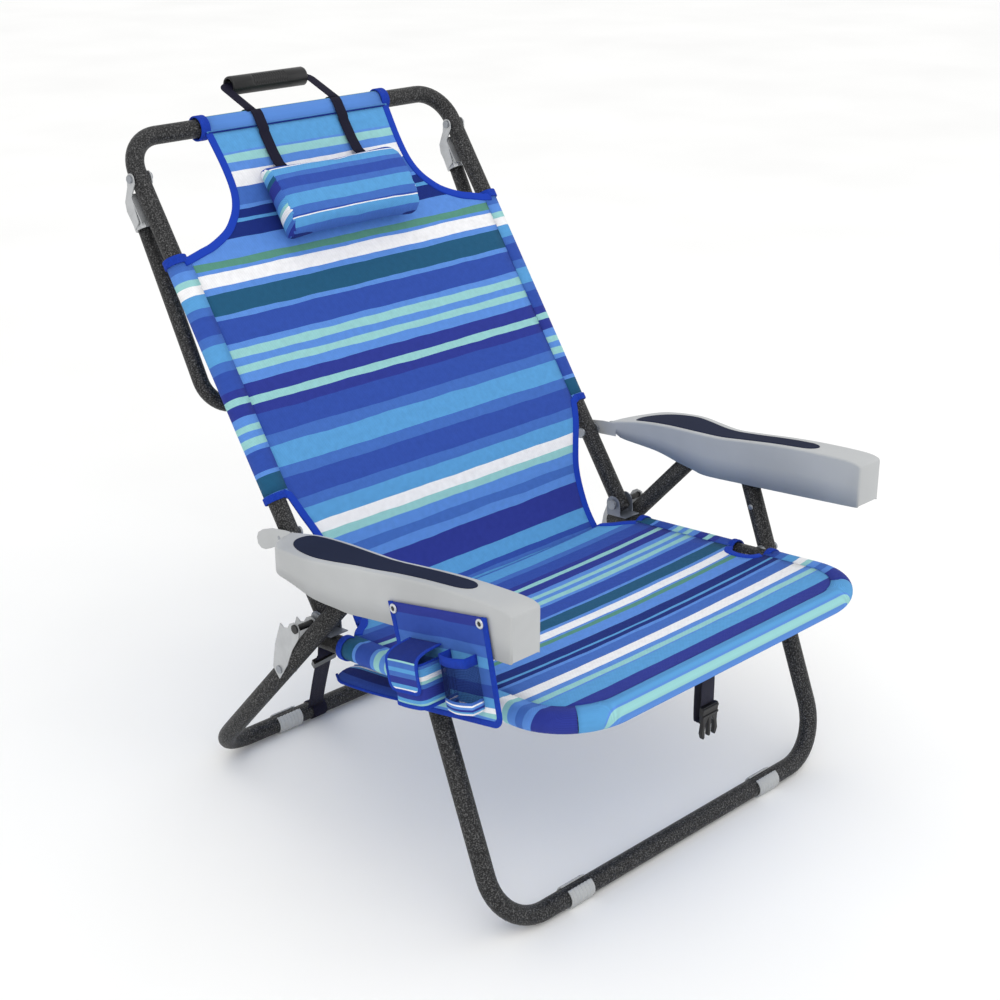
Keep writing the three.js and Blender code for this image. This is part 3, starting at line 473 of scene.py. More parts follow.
def skin(name, rings, matrix, material, closed=True, caps=False, cloth=None, smooth=True):
    """A surface through rings of points. cloth gives (across, along) for ring i, point k."""
    count = len(rings[0])
    vertices = [matrix @ Vector(point) for ring in rings for point in ring]
    faces = []
    corners = []
    span = count if closed else count - 1
    for i in range(len(rings) - 1):
        for k in range(span):
            near = (k + 1) % count
            faces.append((i * count + k, i * count + near, (i + 1) * count + near, (i + 1) * count + k))
            corners.append(((i, k), (i, k + 1), (i + 1, k + 1), (i + 1, k)))
    if caps:
        last = (len(rings) - 1) * count
        faces.append(tuple(range(count)))
        faces.append(tuple(range(last, last + count)))
        corners.append([(0, k) for k in range(count)])
        corners.append([(len(rings) - 1, k) for k in range(count)])
    mesh = bpy.data.meshes.new(name)
    mesh.from_pydata(vertices, [], faces)
    layer = mesh.uv_layers.new(name="UVMap")
    if cloth is None:
        cloth = default_cloth(rings)
    spots = [spot for face in corners for spot in face]
    for loop, (i, k) in zip(layer.data, spots):
        loop.uv = cloth(i, k)
    if closed and caps:
        edit_mesh(mesh, faces_out)
    return place_object(name, mesh, material, smooth)


def default_cloth(rings):
    """Distances round the first ring and along the route of the rings' first point."""
    first = [Vector(point) for point in rings[0]]
    around = [0.0]
    for a, b in zip(first, first[1:] + first[:1]):
        around.append(around[-1] + (b - a).length)
    lengthwise = [0.0]
    for a, b in zip(rings, rings[1:]):
        lengthwise.append(lengthwise[-1] + (Vector(b[0]) - Vector(a[0])).length)
    return lambda i, k: (around[k], lengthwise[i])


def arc(centre, radius, start, end, steps):
    points = []
    for i in range(steps + 1):
        angle = math.radians(start + (end - start) * i / steps)
        points.append((centre[0] + radius * math.cos(angle), centre[1] + radius * math.sin(angle)))
    return points


def bent_path(corners, radius, steps=12):
    """A polyline whose inner corners are arcs."""
    corners = [Vector(corner) for corner in corners]
    points = [corners[0]]
    for before, corner, after in zip(corners, corners[1:], corners[2:]):
        arriving = (corner - before).normalized()
        leaving = (after - corner).normalized()
        turn = arriving.angle(leaving)
        inward = (leaving - arriving * arriving.dot(leaving)).normalized()
        centre = corner - arriving * radius * math.tan(turn / 2) + inward * radius
        for i in range(steps + 1):
            angle = turn * i / steps
            points.append(centre - inward * radius * math.cos(angle) + arriving * radius * math.sin(angle))
    points.append(corners[-1])
    return points


def smooth_curve(points, per_span=6):
    """A Catmull-Rom curve through the points."""
    points = [Vector(point) for point in points]
    padded = [points[0] * 2 - points[1]] + points + [points[-1] * 2 - points[-2]]
    curve = []
    for a, b, c, d in zip(padded, padded[1:], padded[2:], padded[3:]):
        for i in range(per_span):
            t = i / per_span
            curve.append(0.5 * (
                2 * b + (c - a) * t + (2 * a - 5 * b + 4 * c - d) * t * t + (3 * b - a - 3 * c + d) * t ** 3
            ))
    return curve + [points[-1]]


def tangents_of(path):
    found = []
    for i in range(len(path)):
        found.append((path[min(i + 1, len(path) - 1)] - path[max(i - 1, 0)]).normalized())
    return found


def rings_along(path, section, up=UP):
    """section is (outward, up) pairs; outward is to the right of the way the path runs."""
    rings = []
    ups = up if isinstance(up, list) else [up] * len(path)
    for point, tangent, rise in zip(path, tangents_of(path), ups):
        side = tangent.cross(rise).normalized()
        above = side.cross(tangent)
        rings.append([point + side * a + above * b for a, b in section])
    return rings


def circle(radius, sides=32):
    return arc((0, 0), radius, 0, 360 * (sides - 1) / sides, sides - 1)


def rounded_section(width, height, radius=None, steps=4):
    """A rectangle with round corners, as (across, up) pairs."""
    radius = min(width, height) / 2 if radius is None else radius
    a, b = width / 2 - radius, height / 2 - radius
    points = []
    for cx, cy, start in ((a, b, 0), (-a, b, 90), (-a, -b, 180), (a, -b, 270)):
        points += arc((cx, cy), radius, start, start + 90, steps)
    return points


def ride(obj, body, *nodes):
    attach(obj, body)
    if nodes:
        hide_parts(*nodes)
    return obj


def ribbon(name, path, section, up, matrix, body, material, nodes=()):
    """Tape or webbing of one section along a path."""
    obj = skin(name, rings_along(path, section, up), matrix, material, caps=True)
    return ride(obj, body, *nodes)


def subdivide(obj):
    fine = obj.modifiers.new("fine", "SUBSURF")
    fine.levels = 1
    fine.render_levels = 1


def thicken(obj, thickness, offset=0.0):
    solid = obj.modifiers.new("thickness", "SOLIDIFY")
    solid.thickness = thickness * MM
    solid.offset = offset
    return obj


def round_edges(obj, width, segments=2, angle=30):
    bevel = obj.modifiers.new("edges", "BEVEL")
    bevel.width = width * MM
    bevel.segments = segments
    bevel.limit_method = "ANGLE"
    bevel.angle_limit = math.radians(angle)
    return obj


def plate(name, outline, low, high, matrix, material, axis="x", edge=0.6):
    """An outline between two places on the x or y axis, with softened edges."""
    if axis == "x":
        rings = [[(height, a, b) for a, b in outline] for height in (low, high)]
    else:
        rings = [[(a, height, b) for a, b in outline] for height in (low, high)]
    obj = skin(name, rings, matrix, material, caps=True, smooth=False)
    return round_edges(obj, edge)


# ---------------------------------------------------------------- tubes
TUBE_WALL = 1.4
BORE_DEPTH = 25


def pipe(name, corners, bend, radius, matrix, body, node, up=UP, plug=False):
    """A bent tube with open bores, or with rounded ends."""
    path = bent_path(corners, bend)
    rings = rings_along(path, circle(radius), up)
    for end, inner, step in ((0, 1, -1), (-1, -2, 1)):
        tip = path[end]
        inward = (path[inner] - tip).normalized()
        added = []
        if plug:
            for i in range(1, 6):
                angle = math.radians(18 * i)
                shrink = math.cos(angle) * 0.98 + 0.02
                centre = tip - inward * radius * 0.45 * math.sin(angle)
                added.append([centre + (point - tip) * shrink for point in rings[end]])
        else:
            bore = [tip + (point - tip) * (radius - TUBE_WALL) / radius for point in rings[end]]
            added = [bore, [point + inward * BORE_DEPTH for point in bore]]
        if step < 0:
            rings = added[::-1] + rings
        else:
            rings = rings + added
    obj = skin(name, rings, matrix, TUBE, caps=True)
    return ride(obj, body, node)


def u_corners(half, arm_end, bar_at):
    return [(-half, arm_end, 0), (-half, bar_at, 0), (half, bar_at, 0), (half, arm_end, 0)]


SEAT_REAR = 470
BACK_LOW = 10
FRONT_LEG_TOP = 450
REAR_LEG_TOP = 561
LEG_CORNER = 75
pipe("seat_frame", u_corners(SEAT_HALF, SEAT_REAR, 0), SEAT_CORNER, TUBE_R, SEAT, "seat", "seat_frame_tube")
pipe("back_frame", u_corners(BACK_HALF, BACK_LOW, BACK_TOP), BACK_CORNER, TUBE_R, BACK, "back",
     "back_frame_tube", plug=True)
pipe("front_leg_frame", u_corners(FRONT_LEG_HALF, FRONT_LEG_TOP, 0), LEG_CORNER, TUBE_R, FRONT_LEG,
     "front_legs", "front_leg_tube")
pipe("rear_leg_frame", u_corners(REAR_LEG_HALF, REAR_LEG_TOP, 0), LEG_CORNER, TUBE_R, REAR_LEG,
     "rear_legs", "rear_leg_tube")

TOWEL_R = 11
TOWEL_ARM = (626, -31.96)
TOWEL_LOW = (341, -61)
TOWEL_CORNER = 42
towel_up = Vector((0, TOWEL_LOW[0] - TOWEL_ARM[0], TOWEL_LOW[1] - TOWEL_ARM[1])).cross(Vector((1, 0, 0)))
pipe("towel_bar", [
    (-BACK_HALF, *TOWEL_ARM), (-BACK_HALF, *TOWEL_LOW), (BACK_HALF, *TOWEL_LOW), (BACK_HALF, *TOWEL_ARM),
], TOWEL_CORNER, TOWEL_R, BACK, "towel_bar", "towel_bar_tube", up=towel_up.normalized())

# ---------------------------------------------------------------- sling
PANEL_HALF = 274
PANEL_RISE = 11.4
SLEEVE_R = 14.1
SEAM_IN = 15
# The back's outline: half width at distances up the frame, first the lower cut-out, then the neck.
LOWER_EDGE = [(234, -4), (233, 20), (235, 45), (240, 91), (251, 125), (264, 156), (PANEL_HALF, 186)]
NECK_EDGE = [
    (PANEL_HALF, 530), (252, 536), (230, 542), (201, 556), (183, 572), (170, 590), (162, 614), (160, 650),
    (163, 701),
]
SEAT_REAR_EDGE = [(PANEL_HALF, 404), (262, 416), (247, 426), (236, 438)]
SEAT_NOTCH = [(PANEL_HALF, 167), (261, 175), (256, 195), (261, 215), (PANEL_HALF, 224)]
SEAT_STRETCH = 1.2
SEAT_PATTERN_START = 39
BACK_PATTERN_TOP = 704
CREASE_SAG = 26
CREASE_STEP = 8
CREASE_HALF = 235
CREASE_END = 190


def back_rise(s):
    """Height of the sling above the back frame: it hangs back below the side sleeves."""
    share = min(max((CREASE_END - s) / 160, 0), 1)
    return PANEL_RISE - CREASE_SAG * share * share * (3 - 2 * share)


def cross_points(half, count=28):
    return [half * (2 * i / count - 1) for i in range(count + 1)]


def sling_rows():
    """Rows of (matrix, half width, distance, height), the seat's and then the back's."""
    rows = []
    corner_in = SEAT_CORNER - SEAM_IN
    for i in range(9):
        angle = math.radians(90 * i / 8)
        s = SEAT_CORNER - corner_in * math.cos(angle)
        half = SEAT_HALF - SEAT_CORNER + corner_in * math.sin(angle)
        rows.append((SEAT, half, s, PANEL_RISE))
    rows += [(SEAT, PANEL_HALF, s, PANEL_RISE) for s in (100, 120, 140, 155)]
    rows += [(SEAT, point.x, point.y, PANEL_RISE) for point in notch_curve]
    rows += [(SEAT, PANEL_HALF, s, PANEL_RISE) for s in range(240, 400, 20)]
    rows += [(SEAT, point.x, point.y, PANEL_RISE) for point in seat_rear_curve]
    back_rows = [(BACK, point.x, point.y, back_rise(point.y)) for point in lower_curve]
    back_rows += [(BACK, PANEL_HALF, s, PANEL_RISE) for s in range(200, 530, 22)]
    back_rows += [(BACK, point.x, point.y, PANEL_RISE) for point in neck_curve]
    return rows, back_rows


def as_vectors(points):
    return [Vector((a, b, 0)) for a, b in points]


notch_curve = smooth_curve(as_vectors(SEAT_NOTCH), 4)
seat_rear_curve = smooth_curve(as_vectors(SEAT_REAR_EDGE), 4)
lower_curve = smooth_curve(as_vectors(LOWER_EDGE), 4)
neck_curve = smooth_curve(as_vectors(NECK_EDGE), 5)


def belly(matrix, x, half, s):
    """Slack in the middle of the cloth, none at its fixed edges."""
    depth = 6 if matrix is SEAT else 5
    free = 1.0 if matrix is SEAT else min(max(s / 200, 0), 1)
    ends = min((s - 10) / 120, 1) if matrix is SEAT else min((BACK_PATTERN_TOP - s) / 160, 1)
    ends = max(ends, 0)
    return -depth * free * ends * (1 - (x / half) ** 2)


def crease_rows(low, high):
    """The bend between the seat's last row and the back's first, as points for each x share."""
    rings = []
    reach = 14 * MM
    seat_way = (SEAT.to_3x3() @ Vector((0, 1, 0))).normalized()
    back_way = (BACK.to_3x3() @ Vector((0, 1, 0))).normalized()
    for i in range(1, 6):
        t = i / 6
        ring = []
        for a, d in zip(low, high):
            b = a + seat_way * reach
            c = d - back_way * reach
            ring.append(a * (1 - t) ** 3 + b * 3 * t * (1 - t) ** 2 + c * 3 * t * t * (1 - t) + d * t ** 3)
        rings.append(ring)
    return rings


def make_sling():
    seat_rows, back_rows = sling_rows()

    def ring(row):
        matrix, half, s, n = row
        return [matrix @ Vector((x, s, n + belly(matrix, x, half, s))) for x in cross_points(half)]

    seat_rings = [ring(row) for row in seat_rows]
    back_rings = [ring(row) for row in back_rows]
    bend = crease_rows(seat_rings[-1], back_rings[0])
    middle = len(bend) // 2
    rings = seat_rings + bend + back_rings
    seat_place = [SEAT_STRETCH * (s - SEAT_PATTERN_START) for _, _, s, _ in seat_rows]
    last = seat_place[-1]
    seat_place += [last + CREASE_STEP * (i + 1) for i in range(middle + 1)]
    back_place = [BACK_PATTERN_TOP - s for _, _, s, _ in back_rows]
    first = back_place[0]
    turn = len(seat_rows) + middle
    behind = len(bend) - middle
    back_place = [first + CREASE_STEP * (behind - i) for i in range(behind)] + back_place
    halves = [half for _, half, _, _ in seat_rows] + [CREASE_HALF] * len(bend)
    halves += [half for _, half, _, _ in back_rows]

    count = len(rings[0])
    mesh = bpy.data.meshes.new("sling")
    vertices = [point for line in rings for point in line]
    faces = []
    places = []
    for i in range(len(rings) - 1):
        on_seat = i < turn
        low = seat_place[i] if on_seat else back_place[i - turn]
        high = seat_place[i + 1] if on_seat else back_place[i + 1 - turn]
        for k in range(count - 1):
            a = i * count + k
            faces.append((a, a + 1, a + 1 + count, a + count))
            left, right = (2 * k / (count - 1) - 1), (2 * (k + 1) / (count - 1) - 1)
            places += [
                (left * halves[i], low), (right * halves[i], low),
                (right * halves[i + 1], high), (left * halves[i + 1], high),
            ]
    mesh.from_pydata(vertices, [], faces)
    layer = mesh.uv_layers.new(name="UVMap")
    for loop, place in zip(layer.data, places):
        loop.uv = place
    mesh.materials.append(FABRIC_SEAT)
    mesh.materials.append(FABRIC_BACK)
    for index, polygon in enumerate(mesh.polygons):
        polygon.material_index = 0 if index // (count - 1) < turn else 1
    obj = place_object("sling", mesh, FABRIC_SEAT, True)
    thicken(obj, 1.2)
    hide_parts("sling_seat", "sling_back")
    edges = {
        "seat": seat_rings, "bend": bend, "back": back_rings, "seat_rows": seat_rows, "back_rows": back_rows,
    }
    return obj, edges


sling, sling_edges = make_sling()
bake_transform(sling)

# Section of a sleeve round a tube: out from the seam over the tube, round and back to the seam.
SLEEVE = [(-SEAM_IN, PANEL_RISE + 0.8)] + arc((0, 0), SLEEVE_R, 112, -128, 20)
SLEEVE.append((-SEAM_IN, PANEL_RISE - 1.4))


def sleeve(name, path, matrix, body, material, place_of, up=UP):
    """A fabric sleeve along a tube. place_of(point, outward, arc) gives the pattern place."""
    rings = rings_along(path, SLEEVE, up)
    tangents = tangents_of(path)
    around = [0.0]
    for (a, b), (c, d) in zip(SLEEVE, SLEEVE[1:]):
        around.append(around[-1] + math.hypot(c - a, d - b))

    def cloth(i, k):
        outward = tangents[i].cross(up)
        return (around[k], place_of(path[i], outward, around[k] - SEAM_IN))

    obj = skin(name, rings, matrix, material, closed=False, cloth=cloth)
    thicken(obj, 0.9)
    return ride(obj, body)


# The sleeves' print: where it starts, how it is stretched, its last stripe and the front's sky one.
SLEEVE_PRINT = 227
SEAT_PRINT_REAR = 406
SEAT_SLEEVE_STRETCH = 1.15
BACK_PRINT_LOW = 195
BACK_SLEEVE_STRETCH = 1.18
LAST_INDIGO = 664
FRONT_SKY = -42


def seat_sleeve_place(point, outward, turned):
    forward = SEAT_PRINT_REAR - (point.y + outward.y * turned)
    return min(SLEEVE_PRINT + SEAT_SLEEVE_STRETCH * forward, LAST_INDIGO)


def seat_front_place(point, outward, turned):
    """Stripes run along the bar, and only the sky one goes on round the corners."""
    straight = SEAT_STRETCH * (-turned - SEAT_PATTERN_START)
    share = min(max((1 - abs(outward.y)) / 0.12, 0), 1)
    return straight + (FRONT_SKY - straight) * share * share * (3 - 2 * share)


def back_sleeve_place(point, outward, turned):
    return SLEEVE_PRINT + BACK_SLEEVE_STRETCH * (point.y + outward.y * turned - BACK_PRINT_LOW)


def back_top_place(point, outward, turned):
    return BACK_PATTERN_TOP - (point.y + outward.y * turned)


def line_points(x, start, end, step=20):
    count = max(2, round(abs(end - start) / step))
    return [Vector((x, start + (end - start) * i / count, 0)) for i in range(count + 1)]


def corner_arc(side, start, end, steps=10):
    """Part of the seat frame's front corner, in degrees from the side rail."""
    points = []
    for i in range(steps + 1):
        angle = math.radians(start + (end - start) * i / steps)
        centre_x = SEAT_HALF - SEAT_CORNER
        x = side * (centre_x + SEAT_CORNER * math.cos(angle))
        points.append(Vector((x, SEAT_CORNER - SEAT_CORNER * math.sin(angle), 0)))
    return points


SLEEVE_TURN = 50
SEAT_REAR_SLEEVE = (228, 405)
SEAT_FRONT_SLEEVE = 163
BACK_SLEEVE = (190, 531)
TOP_SLEEVE_HALF = 163
SEAT_BANDS = (("front", SEAT_FRONT_SLEEVE), ("middle", SEAT_REAR_SLEEVE[0]), ("rear", SEAT_REAR_SLEEVE[1]))
for name, side in SIDES:
    rear = line_points(side * SEAT_HALF, SEAT_REAR_SLEEVE[1], SEAT_REAR_SLEEVE[0])
    front = line_points(side * SEAT_HALF, SEAT_FRONT_SLEEVE, SEAT_CORNER + 2)
    front += corner_arc(side, 0, SLEEVE_TURN)
    rail = line_points(side * BACK_HALF, BACK_SLEEVE[1], BACK_SLEEVE[0])
    if side > 0:
        rear, front = rear[::-1], front[::-1]
        rail = rail[::-1]
    sleeve(f"seat_sleeve_rear_{name}", rear, SEAT, "seat", FABRIC_BACK, seat_sleeve_place)
    sleeve(f"seat_sleeve_side_{name}", front, SEAT, "seat", FABRIC_BACK, seat_sleeve_place)
    sleeve(f"back_sleeve_{name}", rail, BACK, "back", FABRIC_BACK, back_sleeve_place)

front_path = corner_arc(-1, SLEEVE_TURN, 90) + [Vector((x, 0, 0)) for x in range(-180, 181, 60)]
front_path += corner_arc(1, SLEEVE_TURN, 90)[::-1]
sleeve("seat_sleeve_front", front_path, SEAT, "seat", FABRIC_SEAT, seat_front_place)
top_path = [Vector((x, BACK_TOP, 0)) for x in (TOP_SLEEVE_HALF, 100, 50, 0, -50, -100, -TOP_SLEEVE_HALF)]
sleeve("back_sleeve_top", top_path, BACK, "back", FABRIC_BACK, back_top_place)

# ---------------------------------------------------------------- binding tape
TAPE = rounded_section(11.5, 3.8, 1.8)
BAND = rounded_section(10, 2.6, 1.2)
WIDE_BAND = rounded_section(12, 2.6, 1.2)
TOP_BAND = rounded_section(15, 2.6, 1.2)


def band(name, centre, matrix, body, along_x=False, radius=15.7, profile=BAND, cloth=BINDING):
    """Tape or webbing closed round a tube, such as round the end of a sleeve."""
    rings = []
    for i in range(33):
        angle = math.radians(360 * i / 32)
        ring = []
        for a, b in profile:
            reach = radius + b
            if along_x:
                ring.append(centre + Vector((a, reach * math.cos(angle), reach * math.sin(angle))))
            else:
                ring.append(centre + Vector((reach * math.cos(angle), a, reach * math.sin(angle))))
        rings.append(ring)
    return ride(skin(name, rings, matrix, cloth), body)


def edge_tape(name, points, ups, body=None):
    """Folded tape along a free edge of cloth. Points are in metres in the chair's frame."""
    rings = rings_along(points, [(a * MM, b * MM) for a, b in TAPE], ups)
    obj = skin(name, rings, Matrix.Identity(4), BINDING, caps=True)
    return ride(obj, body) if body else obj


def cloth_edge(part, edge, low, high, inset):
    """The sling's edge points between two distances along the seat or the back."""
    rows = zip(sling_edges[part], sling_edges[f"{part}_rows"])
    return [ring[edge] + inset for ring, row in rows if low <= row[2] <= high]


def frame_up(matrix):
    return (matrix.to_3x3() @ UP).normalized()


seat_up, back_up = frame_up(SEAT), frame_up(BACK)
for name, side in SIDES:
    edge = 0 if side < 0 else -1
    inset = Vector((-side * 3 * MM, 0, 0))
    band(f"back_low_band_{name}", Vector((side * BACK_HALF, BACK_SLEEVE[0], 0)), BACK, "back")
    high = Vector((side * BACK_HALF, BACK_SLEEVE[1] + 3, 0))
    band(f"back_high_band_{name}", high, BACK, "back", profile=WIDE_BAND)
    top = Vector((side * TOP_SLEEVE_HALF, BACK_TOP, 0))
    band(f"top_band_{name}", top, BACK, "back", True, 16.4, TOP_BAND)
    for label, at in SEAT_BANDS:
        band(f"seat_{label}_band_{name}", Vector((side * SEAT_HALF, at, 0)), SEAT, "seat")
    neck = cloth_edge("back", edge, NECK_EDGE[0][1] - 1, BACK_TOP, inset)
    neck.insert(0, BACK @ Vector((side * (PANEL_HALF + 8), 528, PANEL_RISE + 3)))
    edge_tape(f"neck_tape_{name}", neck, [back_up] * len(neck), "back")
    notch = cloth_edge("seat", edge, SEAT_NOTCH[0][1] - 1, SEAT_NOTCH[-1][1] + 2, inset)
    edge_tape(f"notch_tape_{name}", notch, [seat_up] * len(notch), "seat")
    seat_part = cloth_edge("seat", edge, SEAT_REAR_EDGE[0][1] - 1, SEAT_REAR, inset)
    bend_part = [ring[edge] + inset for ring in sling_edges["bend"]]
    back_part = cloth_edge("back", edge, LOWER_EDGE[0][1] - 1, CREASE_END, inset)
    lower = seat_part + bend_part + back_part
    lower.append(BACK @ Vector((side * (PANEL_HALF + 6), 191, PANEL_RISE + 2.5)))
    steps = len(bend_part) + 1
    lower_ups = [seat_up] * len(seat_part)
    lower_ups += [seat_up.lerp(back_up, (i + 1) / steps).normalized() for i in range(len(bend_part))]
    lower_ups += [back_up] * (len(back_part) + 1)
    tape = edge_tape(f"lower_tape_{name}", lower, lower_ups)
    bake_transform(tape)

# The dark seam under the top sleeve.
SEAM_PLACE = (701.5, PANEL_RISE + 1.2)
seam_path = [Vector((TOP_SLEEVE_HALF - 4 - 8 * i, *SEAM_PLACE)) for i in range(41)]
ribbon("top_seam", seam_path, rounded_section(2.2, 1.6, 0.7), UP, BACK, "back", THREAD)

# ---------------------------------------------------------------- head pillow
PILLOW_HALF = 116
PILLOW_CAP = 0.7
PILLOW_SECTION = [
    (525, 16), (522, 26), (523, 38), (532, 49), (552, 55.5), (588, 55.5), (614, 49), (628, 36), (632, 24),
    (629, 16), (600, 15), (560, 15),
]


def pillow_shape():
    """The stuffed bolster before it swells: a rounded D with firm ends."""
    loop = [Vector((0, a, b)) for a, b in PILLOW_SECTION]
    loop = smooth_curve(loop + [loop[0]], 3)[:-1]
    middle = Vector((0, 577, 34))
    rings = []
    half = [(1, 0.0), (1, 0.62), (1, 0.93), (0.985, 1.0), (0.6, 1.0), (0.2, 1.0)]
    for x, shrink in [(-x, shrink) for x, shrink in half] + half[::-1]:
        across = Vector((x * PILLOW_HALF, 0, 0))
        rings.append([middle + (point - middle) * shrink + across for point in loop])
    return rings


def swell(obj, voxel, pressure, cap):
    """Inflates a closed soft shape with a cloth simulation and limits how far it moves."""
    remesh = obj.modifiers.new("remesh", "REMESH")
    remesh.mode = "VOXEL"
    remesh.voxel_size = voxel
    apply_modifiers(obj)
    rest = [vertex.co.copy() for vertex in obj.data.vertices]
    cloth = obj.modifiers.new("cloth", "CLOTH")
    cloth.settings.use_pressure = True
    cloth.settings.uniform_pressure_force = pressure
    cloth.settings.effector_weights.gravity = 0
    cloth.settings.quality = 4
    scene = bpy.context.scene
    for number in range(1, 21):
        scene.frame_set(number)
    apply_modifiers(obj)
    for vertex, start in zip(obj.data.vertices, rest):
        move = vertex.co - start
        if move.length > cap:
            vertex.co = start + move.normalized() * cap
    scene.frame_set(1)
    return obj


def apply_modifiers(obj):
    evaluated = obj.evaluated_get(bpy.context.evaluated_depsgraph_get())
    mesh = bpy.data.meshes.new_from_object(evaluated)
    obj.modifiers.clear()
    obj.data = mesh


def flat_map(obj, matrix, place):
    """Gives every face corner its (across, along) from its point in the frame's own millimetres."""
    inverse = matrix.inverted()
    mesh = obj.data
    layer = mesh.uv_layers.get("UVMap") or mesh.uv_layers.new(name="UVMap")
    for polygon in mesh.polygons:
        polygon.use_smooth = True
        normal = (inverse.to_3x3() @ polygon.normal).normalized()
        for index in polygon.loop_indices:
            point = inverse @ mesh.vertices[mesh.loops[index].vertex_index].co
            layer.data[index].uv = place(point, normal)


def pillow_cloth(point, normal):
    tilt = 0.35 * (point.z - 34) if abs(normal.x) > PILLOW_CAP else 0
    return (point.x, 635 - point.y + tilt)


def make_pillow():
    obj = skin("pillow_cushion", pillow_shape(), BACK, FABRIC_PILLOW, caps=True)
    swell(obj, 5 * MM, 4, 5 * MM)
    obj.data.materials.append(FABRIC_CAP)
    flat_map(obj, BACK, pillow_cloth)
    inverse = BACK.inverted().to_3x3()
    for polygon in obj.data.polygons:
        normal = (inverse @ polygon.normal).normalized()
        polygon.material_index = 1 if abs(normal.x) > PILLOW_CAP else 0
    subdivide(obj)
    return ride(obj, "pillow", "head_pillow")


make_pillow()


# ---------------------------------------------------------------- straps on the top bar
def flat_ups(curve):
    """Which way is up at each point of webbing that lies across X."""
    return [Vector((1, 0, 0)).cross(tangent).normalized() for tangent in tangents_of(curve)]


def strap(name, path, width, thickness, x, matrix, body, material=WEBBING, nodes=()):
    """Webbing along a side-view path of (along, above) points at one x."""
    curve = [Vector((x, a, b)) for a, b in path]
    section = rounded_section(width, thickness, thickness * 0.45, 2)
    return ribbon(name, curve, section, flat_ups(curve), matrix, body, material, nodes)


HANDLE_CENTRE = (783, -27)
HANDLE_STRAP_X = 75.8
PILLOW_STRAP_X = 72
HANDLE_TURN = 10
WEBBING_THICK = 1.3
handle_angle = math.degrees(math.atan2(HANDLE_CENTRE[1], HANDLE_CENTRE[0] - BACK_TOP))
handle_reach = math.hypot(HANDLE_CENTRE[0] - BACK_TOP, HANDLE_CENTRE[1])
HANDLE_LOOP = 15.6
STRAP_LOOP = 17.2
handle_tangent = handle_angle + math.degrees(math.acos(HANDLE_LOOP / handle_reach))


def make_handle_webbing(name, side):
    """Webbing round the top bar, up to the grip, and turned flat into the grip's end."""
    x = side * HANDLE_STRAP_X
    loop = [Vector((x, a, b)) for a, b in arc((BACK_TOP, 0), HANDLE_LOOP, -70, handle_tangent, 12)]
    centre = Vector((x, *HANDLE_CENTRE))
    run = centre - loop[-1]
    upward = run.normalized()
    inward = Vector((-side, 0, 0))
    turn_start = centre - upward * HANDLE_TURN
    path = loop + [loop[-1].lerp(turn_start, i / 4) for i in range(1, 4)]
    for i in range(9):
        angle = math.radians(90 * i / 8)
        step = upward * HANDLE_TURN * math.sin(angle) + inward * HANDLE_TURN * (1 - math.cos(angle))
        path.append(turn_start + step)
    path += [path[-1] + inward * 8 * i for i in (1, 2, 3)]
    normal = Vector((1, 0, 0)).cross(upward).normalized()
    ups = flat_ups(path)[:len(loop)] + [normal] * (len(path) - len(loop))
    section = rounded_section(16.4, WEBBING_THICK, 0.6, 2)
    ribbon(f"handle_webbing_strip_{name}", path, section, ups, BACK, "handle", WEBBING,
           (f"handle_webbing_{name}",))


for name, side in SIDES:
    over = arc((BACK_TOP, 0), STRAP_LOOP, handle_tangent + 4, 92, 8)
    down = [(BACK_TOP - 22, 16.6), (690, 14.5), (660, 14.6), (640, 17), (633, 21)]
    strap(f"pillow_webbing_{name}", over + down, 18, WEBBING_THICK, side * PILLOW_STRAP_X, BACK, "pillow",
          nodes=(f"pillow_strap_{name}",))
    make_handle_webbing(name, side)


GRIP_HALF = 67
GRIP_R = 14
GRIP_BORE = 10.8
GRIP_SLOTS = 14
GRIP_SLOT_DEPTH = 1.8
# Degrees round the grip at the middle of its slit and of its slots.
GRIP_SLIT = 205
GRIP_SLOTS_FACE = 91


def make_grip():
    """A slit tube moulded to the hand, with fine slots in the middle of its outer side."""
    half = GRIP_HALF
    stations = [(-half, 0.94, 0), (-half + 2, 1.0, 0), (-34, 1.0, 0)]
    for i in range(GRIP_SLOTS * 4 + 1):
        stations.append((-30 + 60 * i / (GRIP_SLOTS * 4), 1.0, 1 if i % 4 in (1, 2) else 0))
    stations += [(34, 1.0, 0), (half - 2, 1.0, 0), (half, 0.94, 0)]
    rings = []
    for x, share, slot in stations:
        outer = []
        steps = 48
        for i in range(steps + 1):
            angle = GRIP_SLIT + 20 + 320 * i / steps
            turned = (angle - GRIP_SLOTS_FACE + 180) % 360 - 180
            reach = GRIP_R * share - (GRIP_SLOT_DEPTH if slot and abs(turned) < 28 else 0)
            outer += arc(HANDLE_CENTRE, reach, angle, angle, 1)[:1]
        inner = arc(HANDLE_CENTRE, GRIP_BORE, GRIP_SLIT + 340, GRIP_SLIT + 20, 28)
        rings.append([(x, a, b) for a, b in outer + inner])
    obj = skin("carry_grip", rings, BACK, BLACK_PLASTIC, caps=True)
    return ride(obj, "handle", "handle_grip")


make_grip()

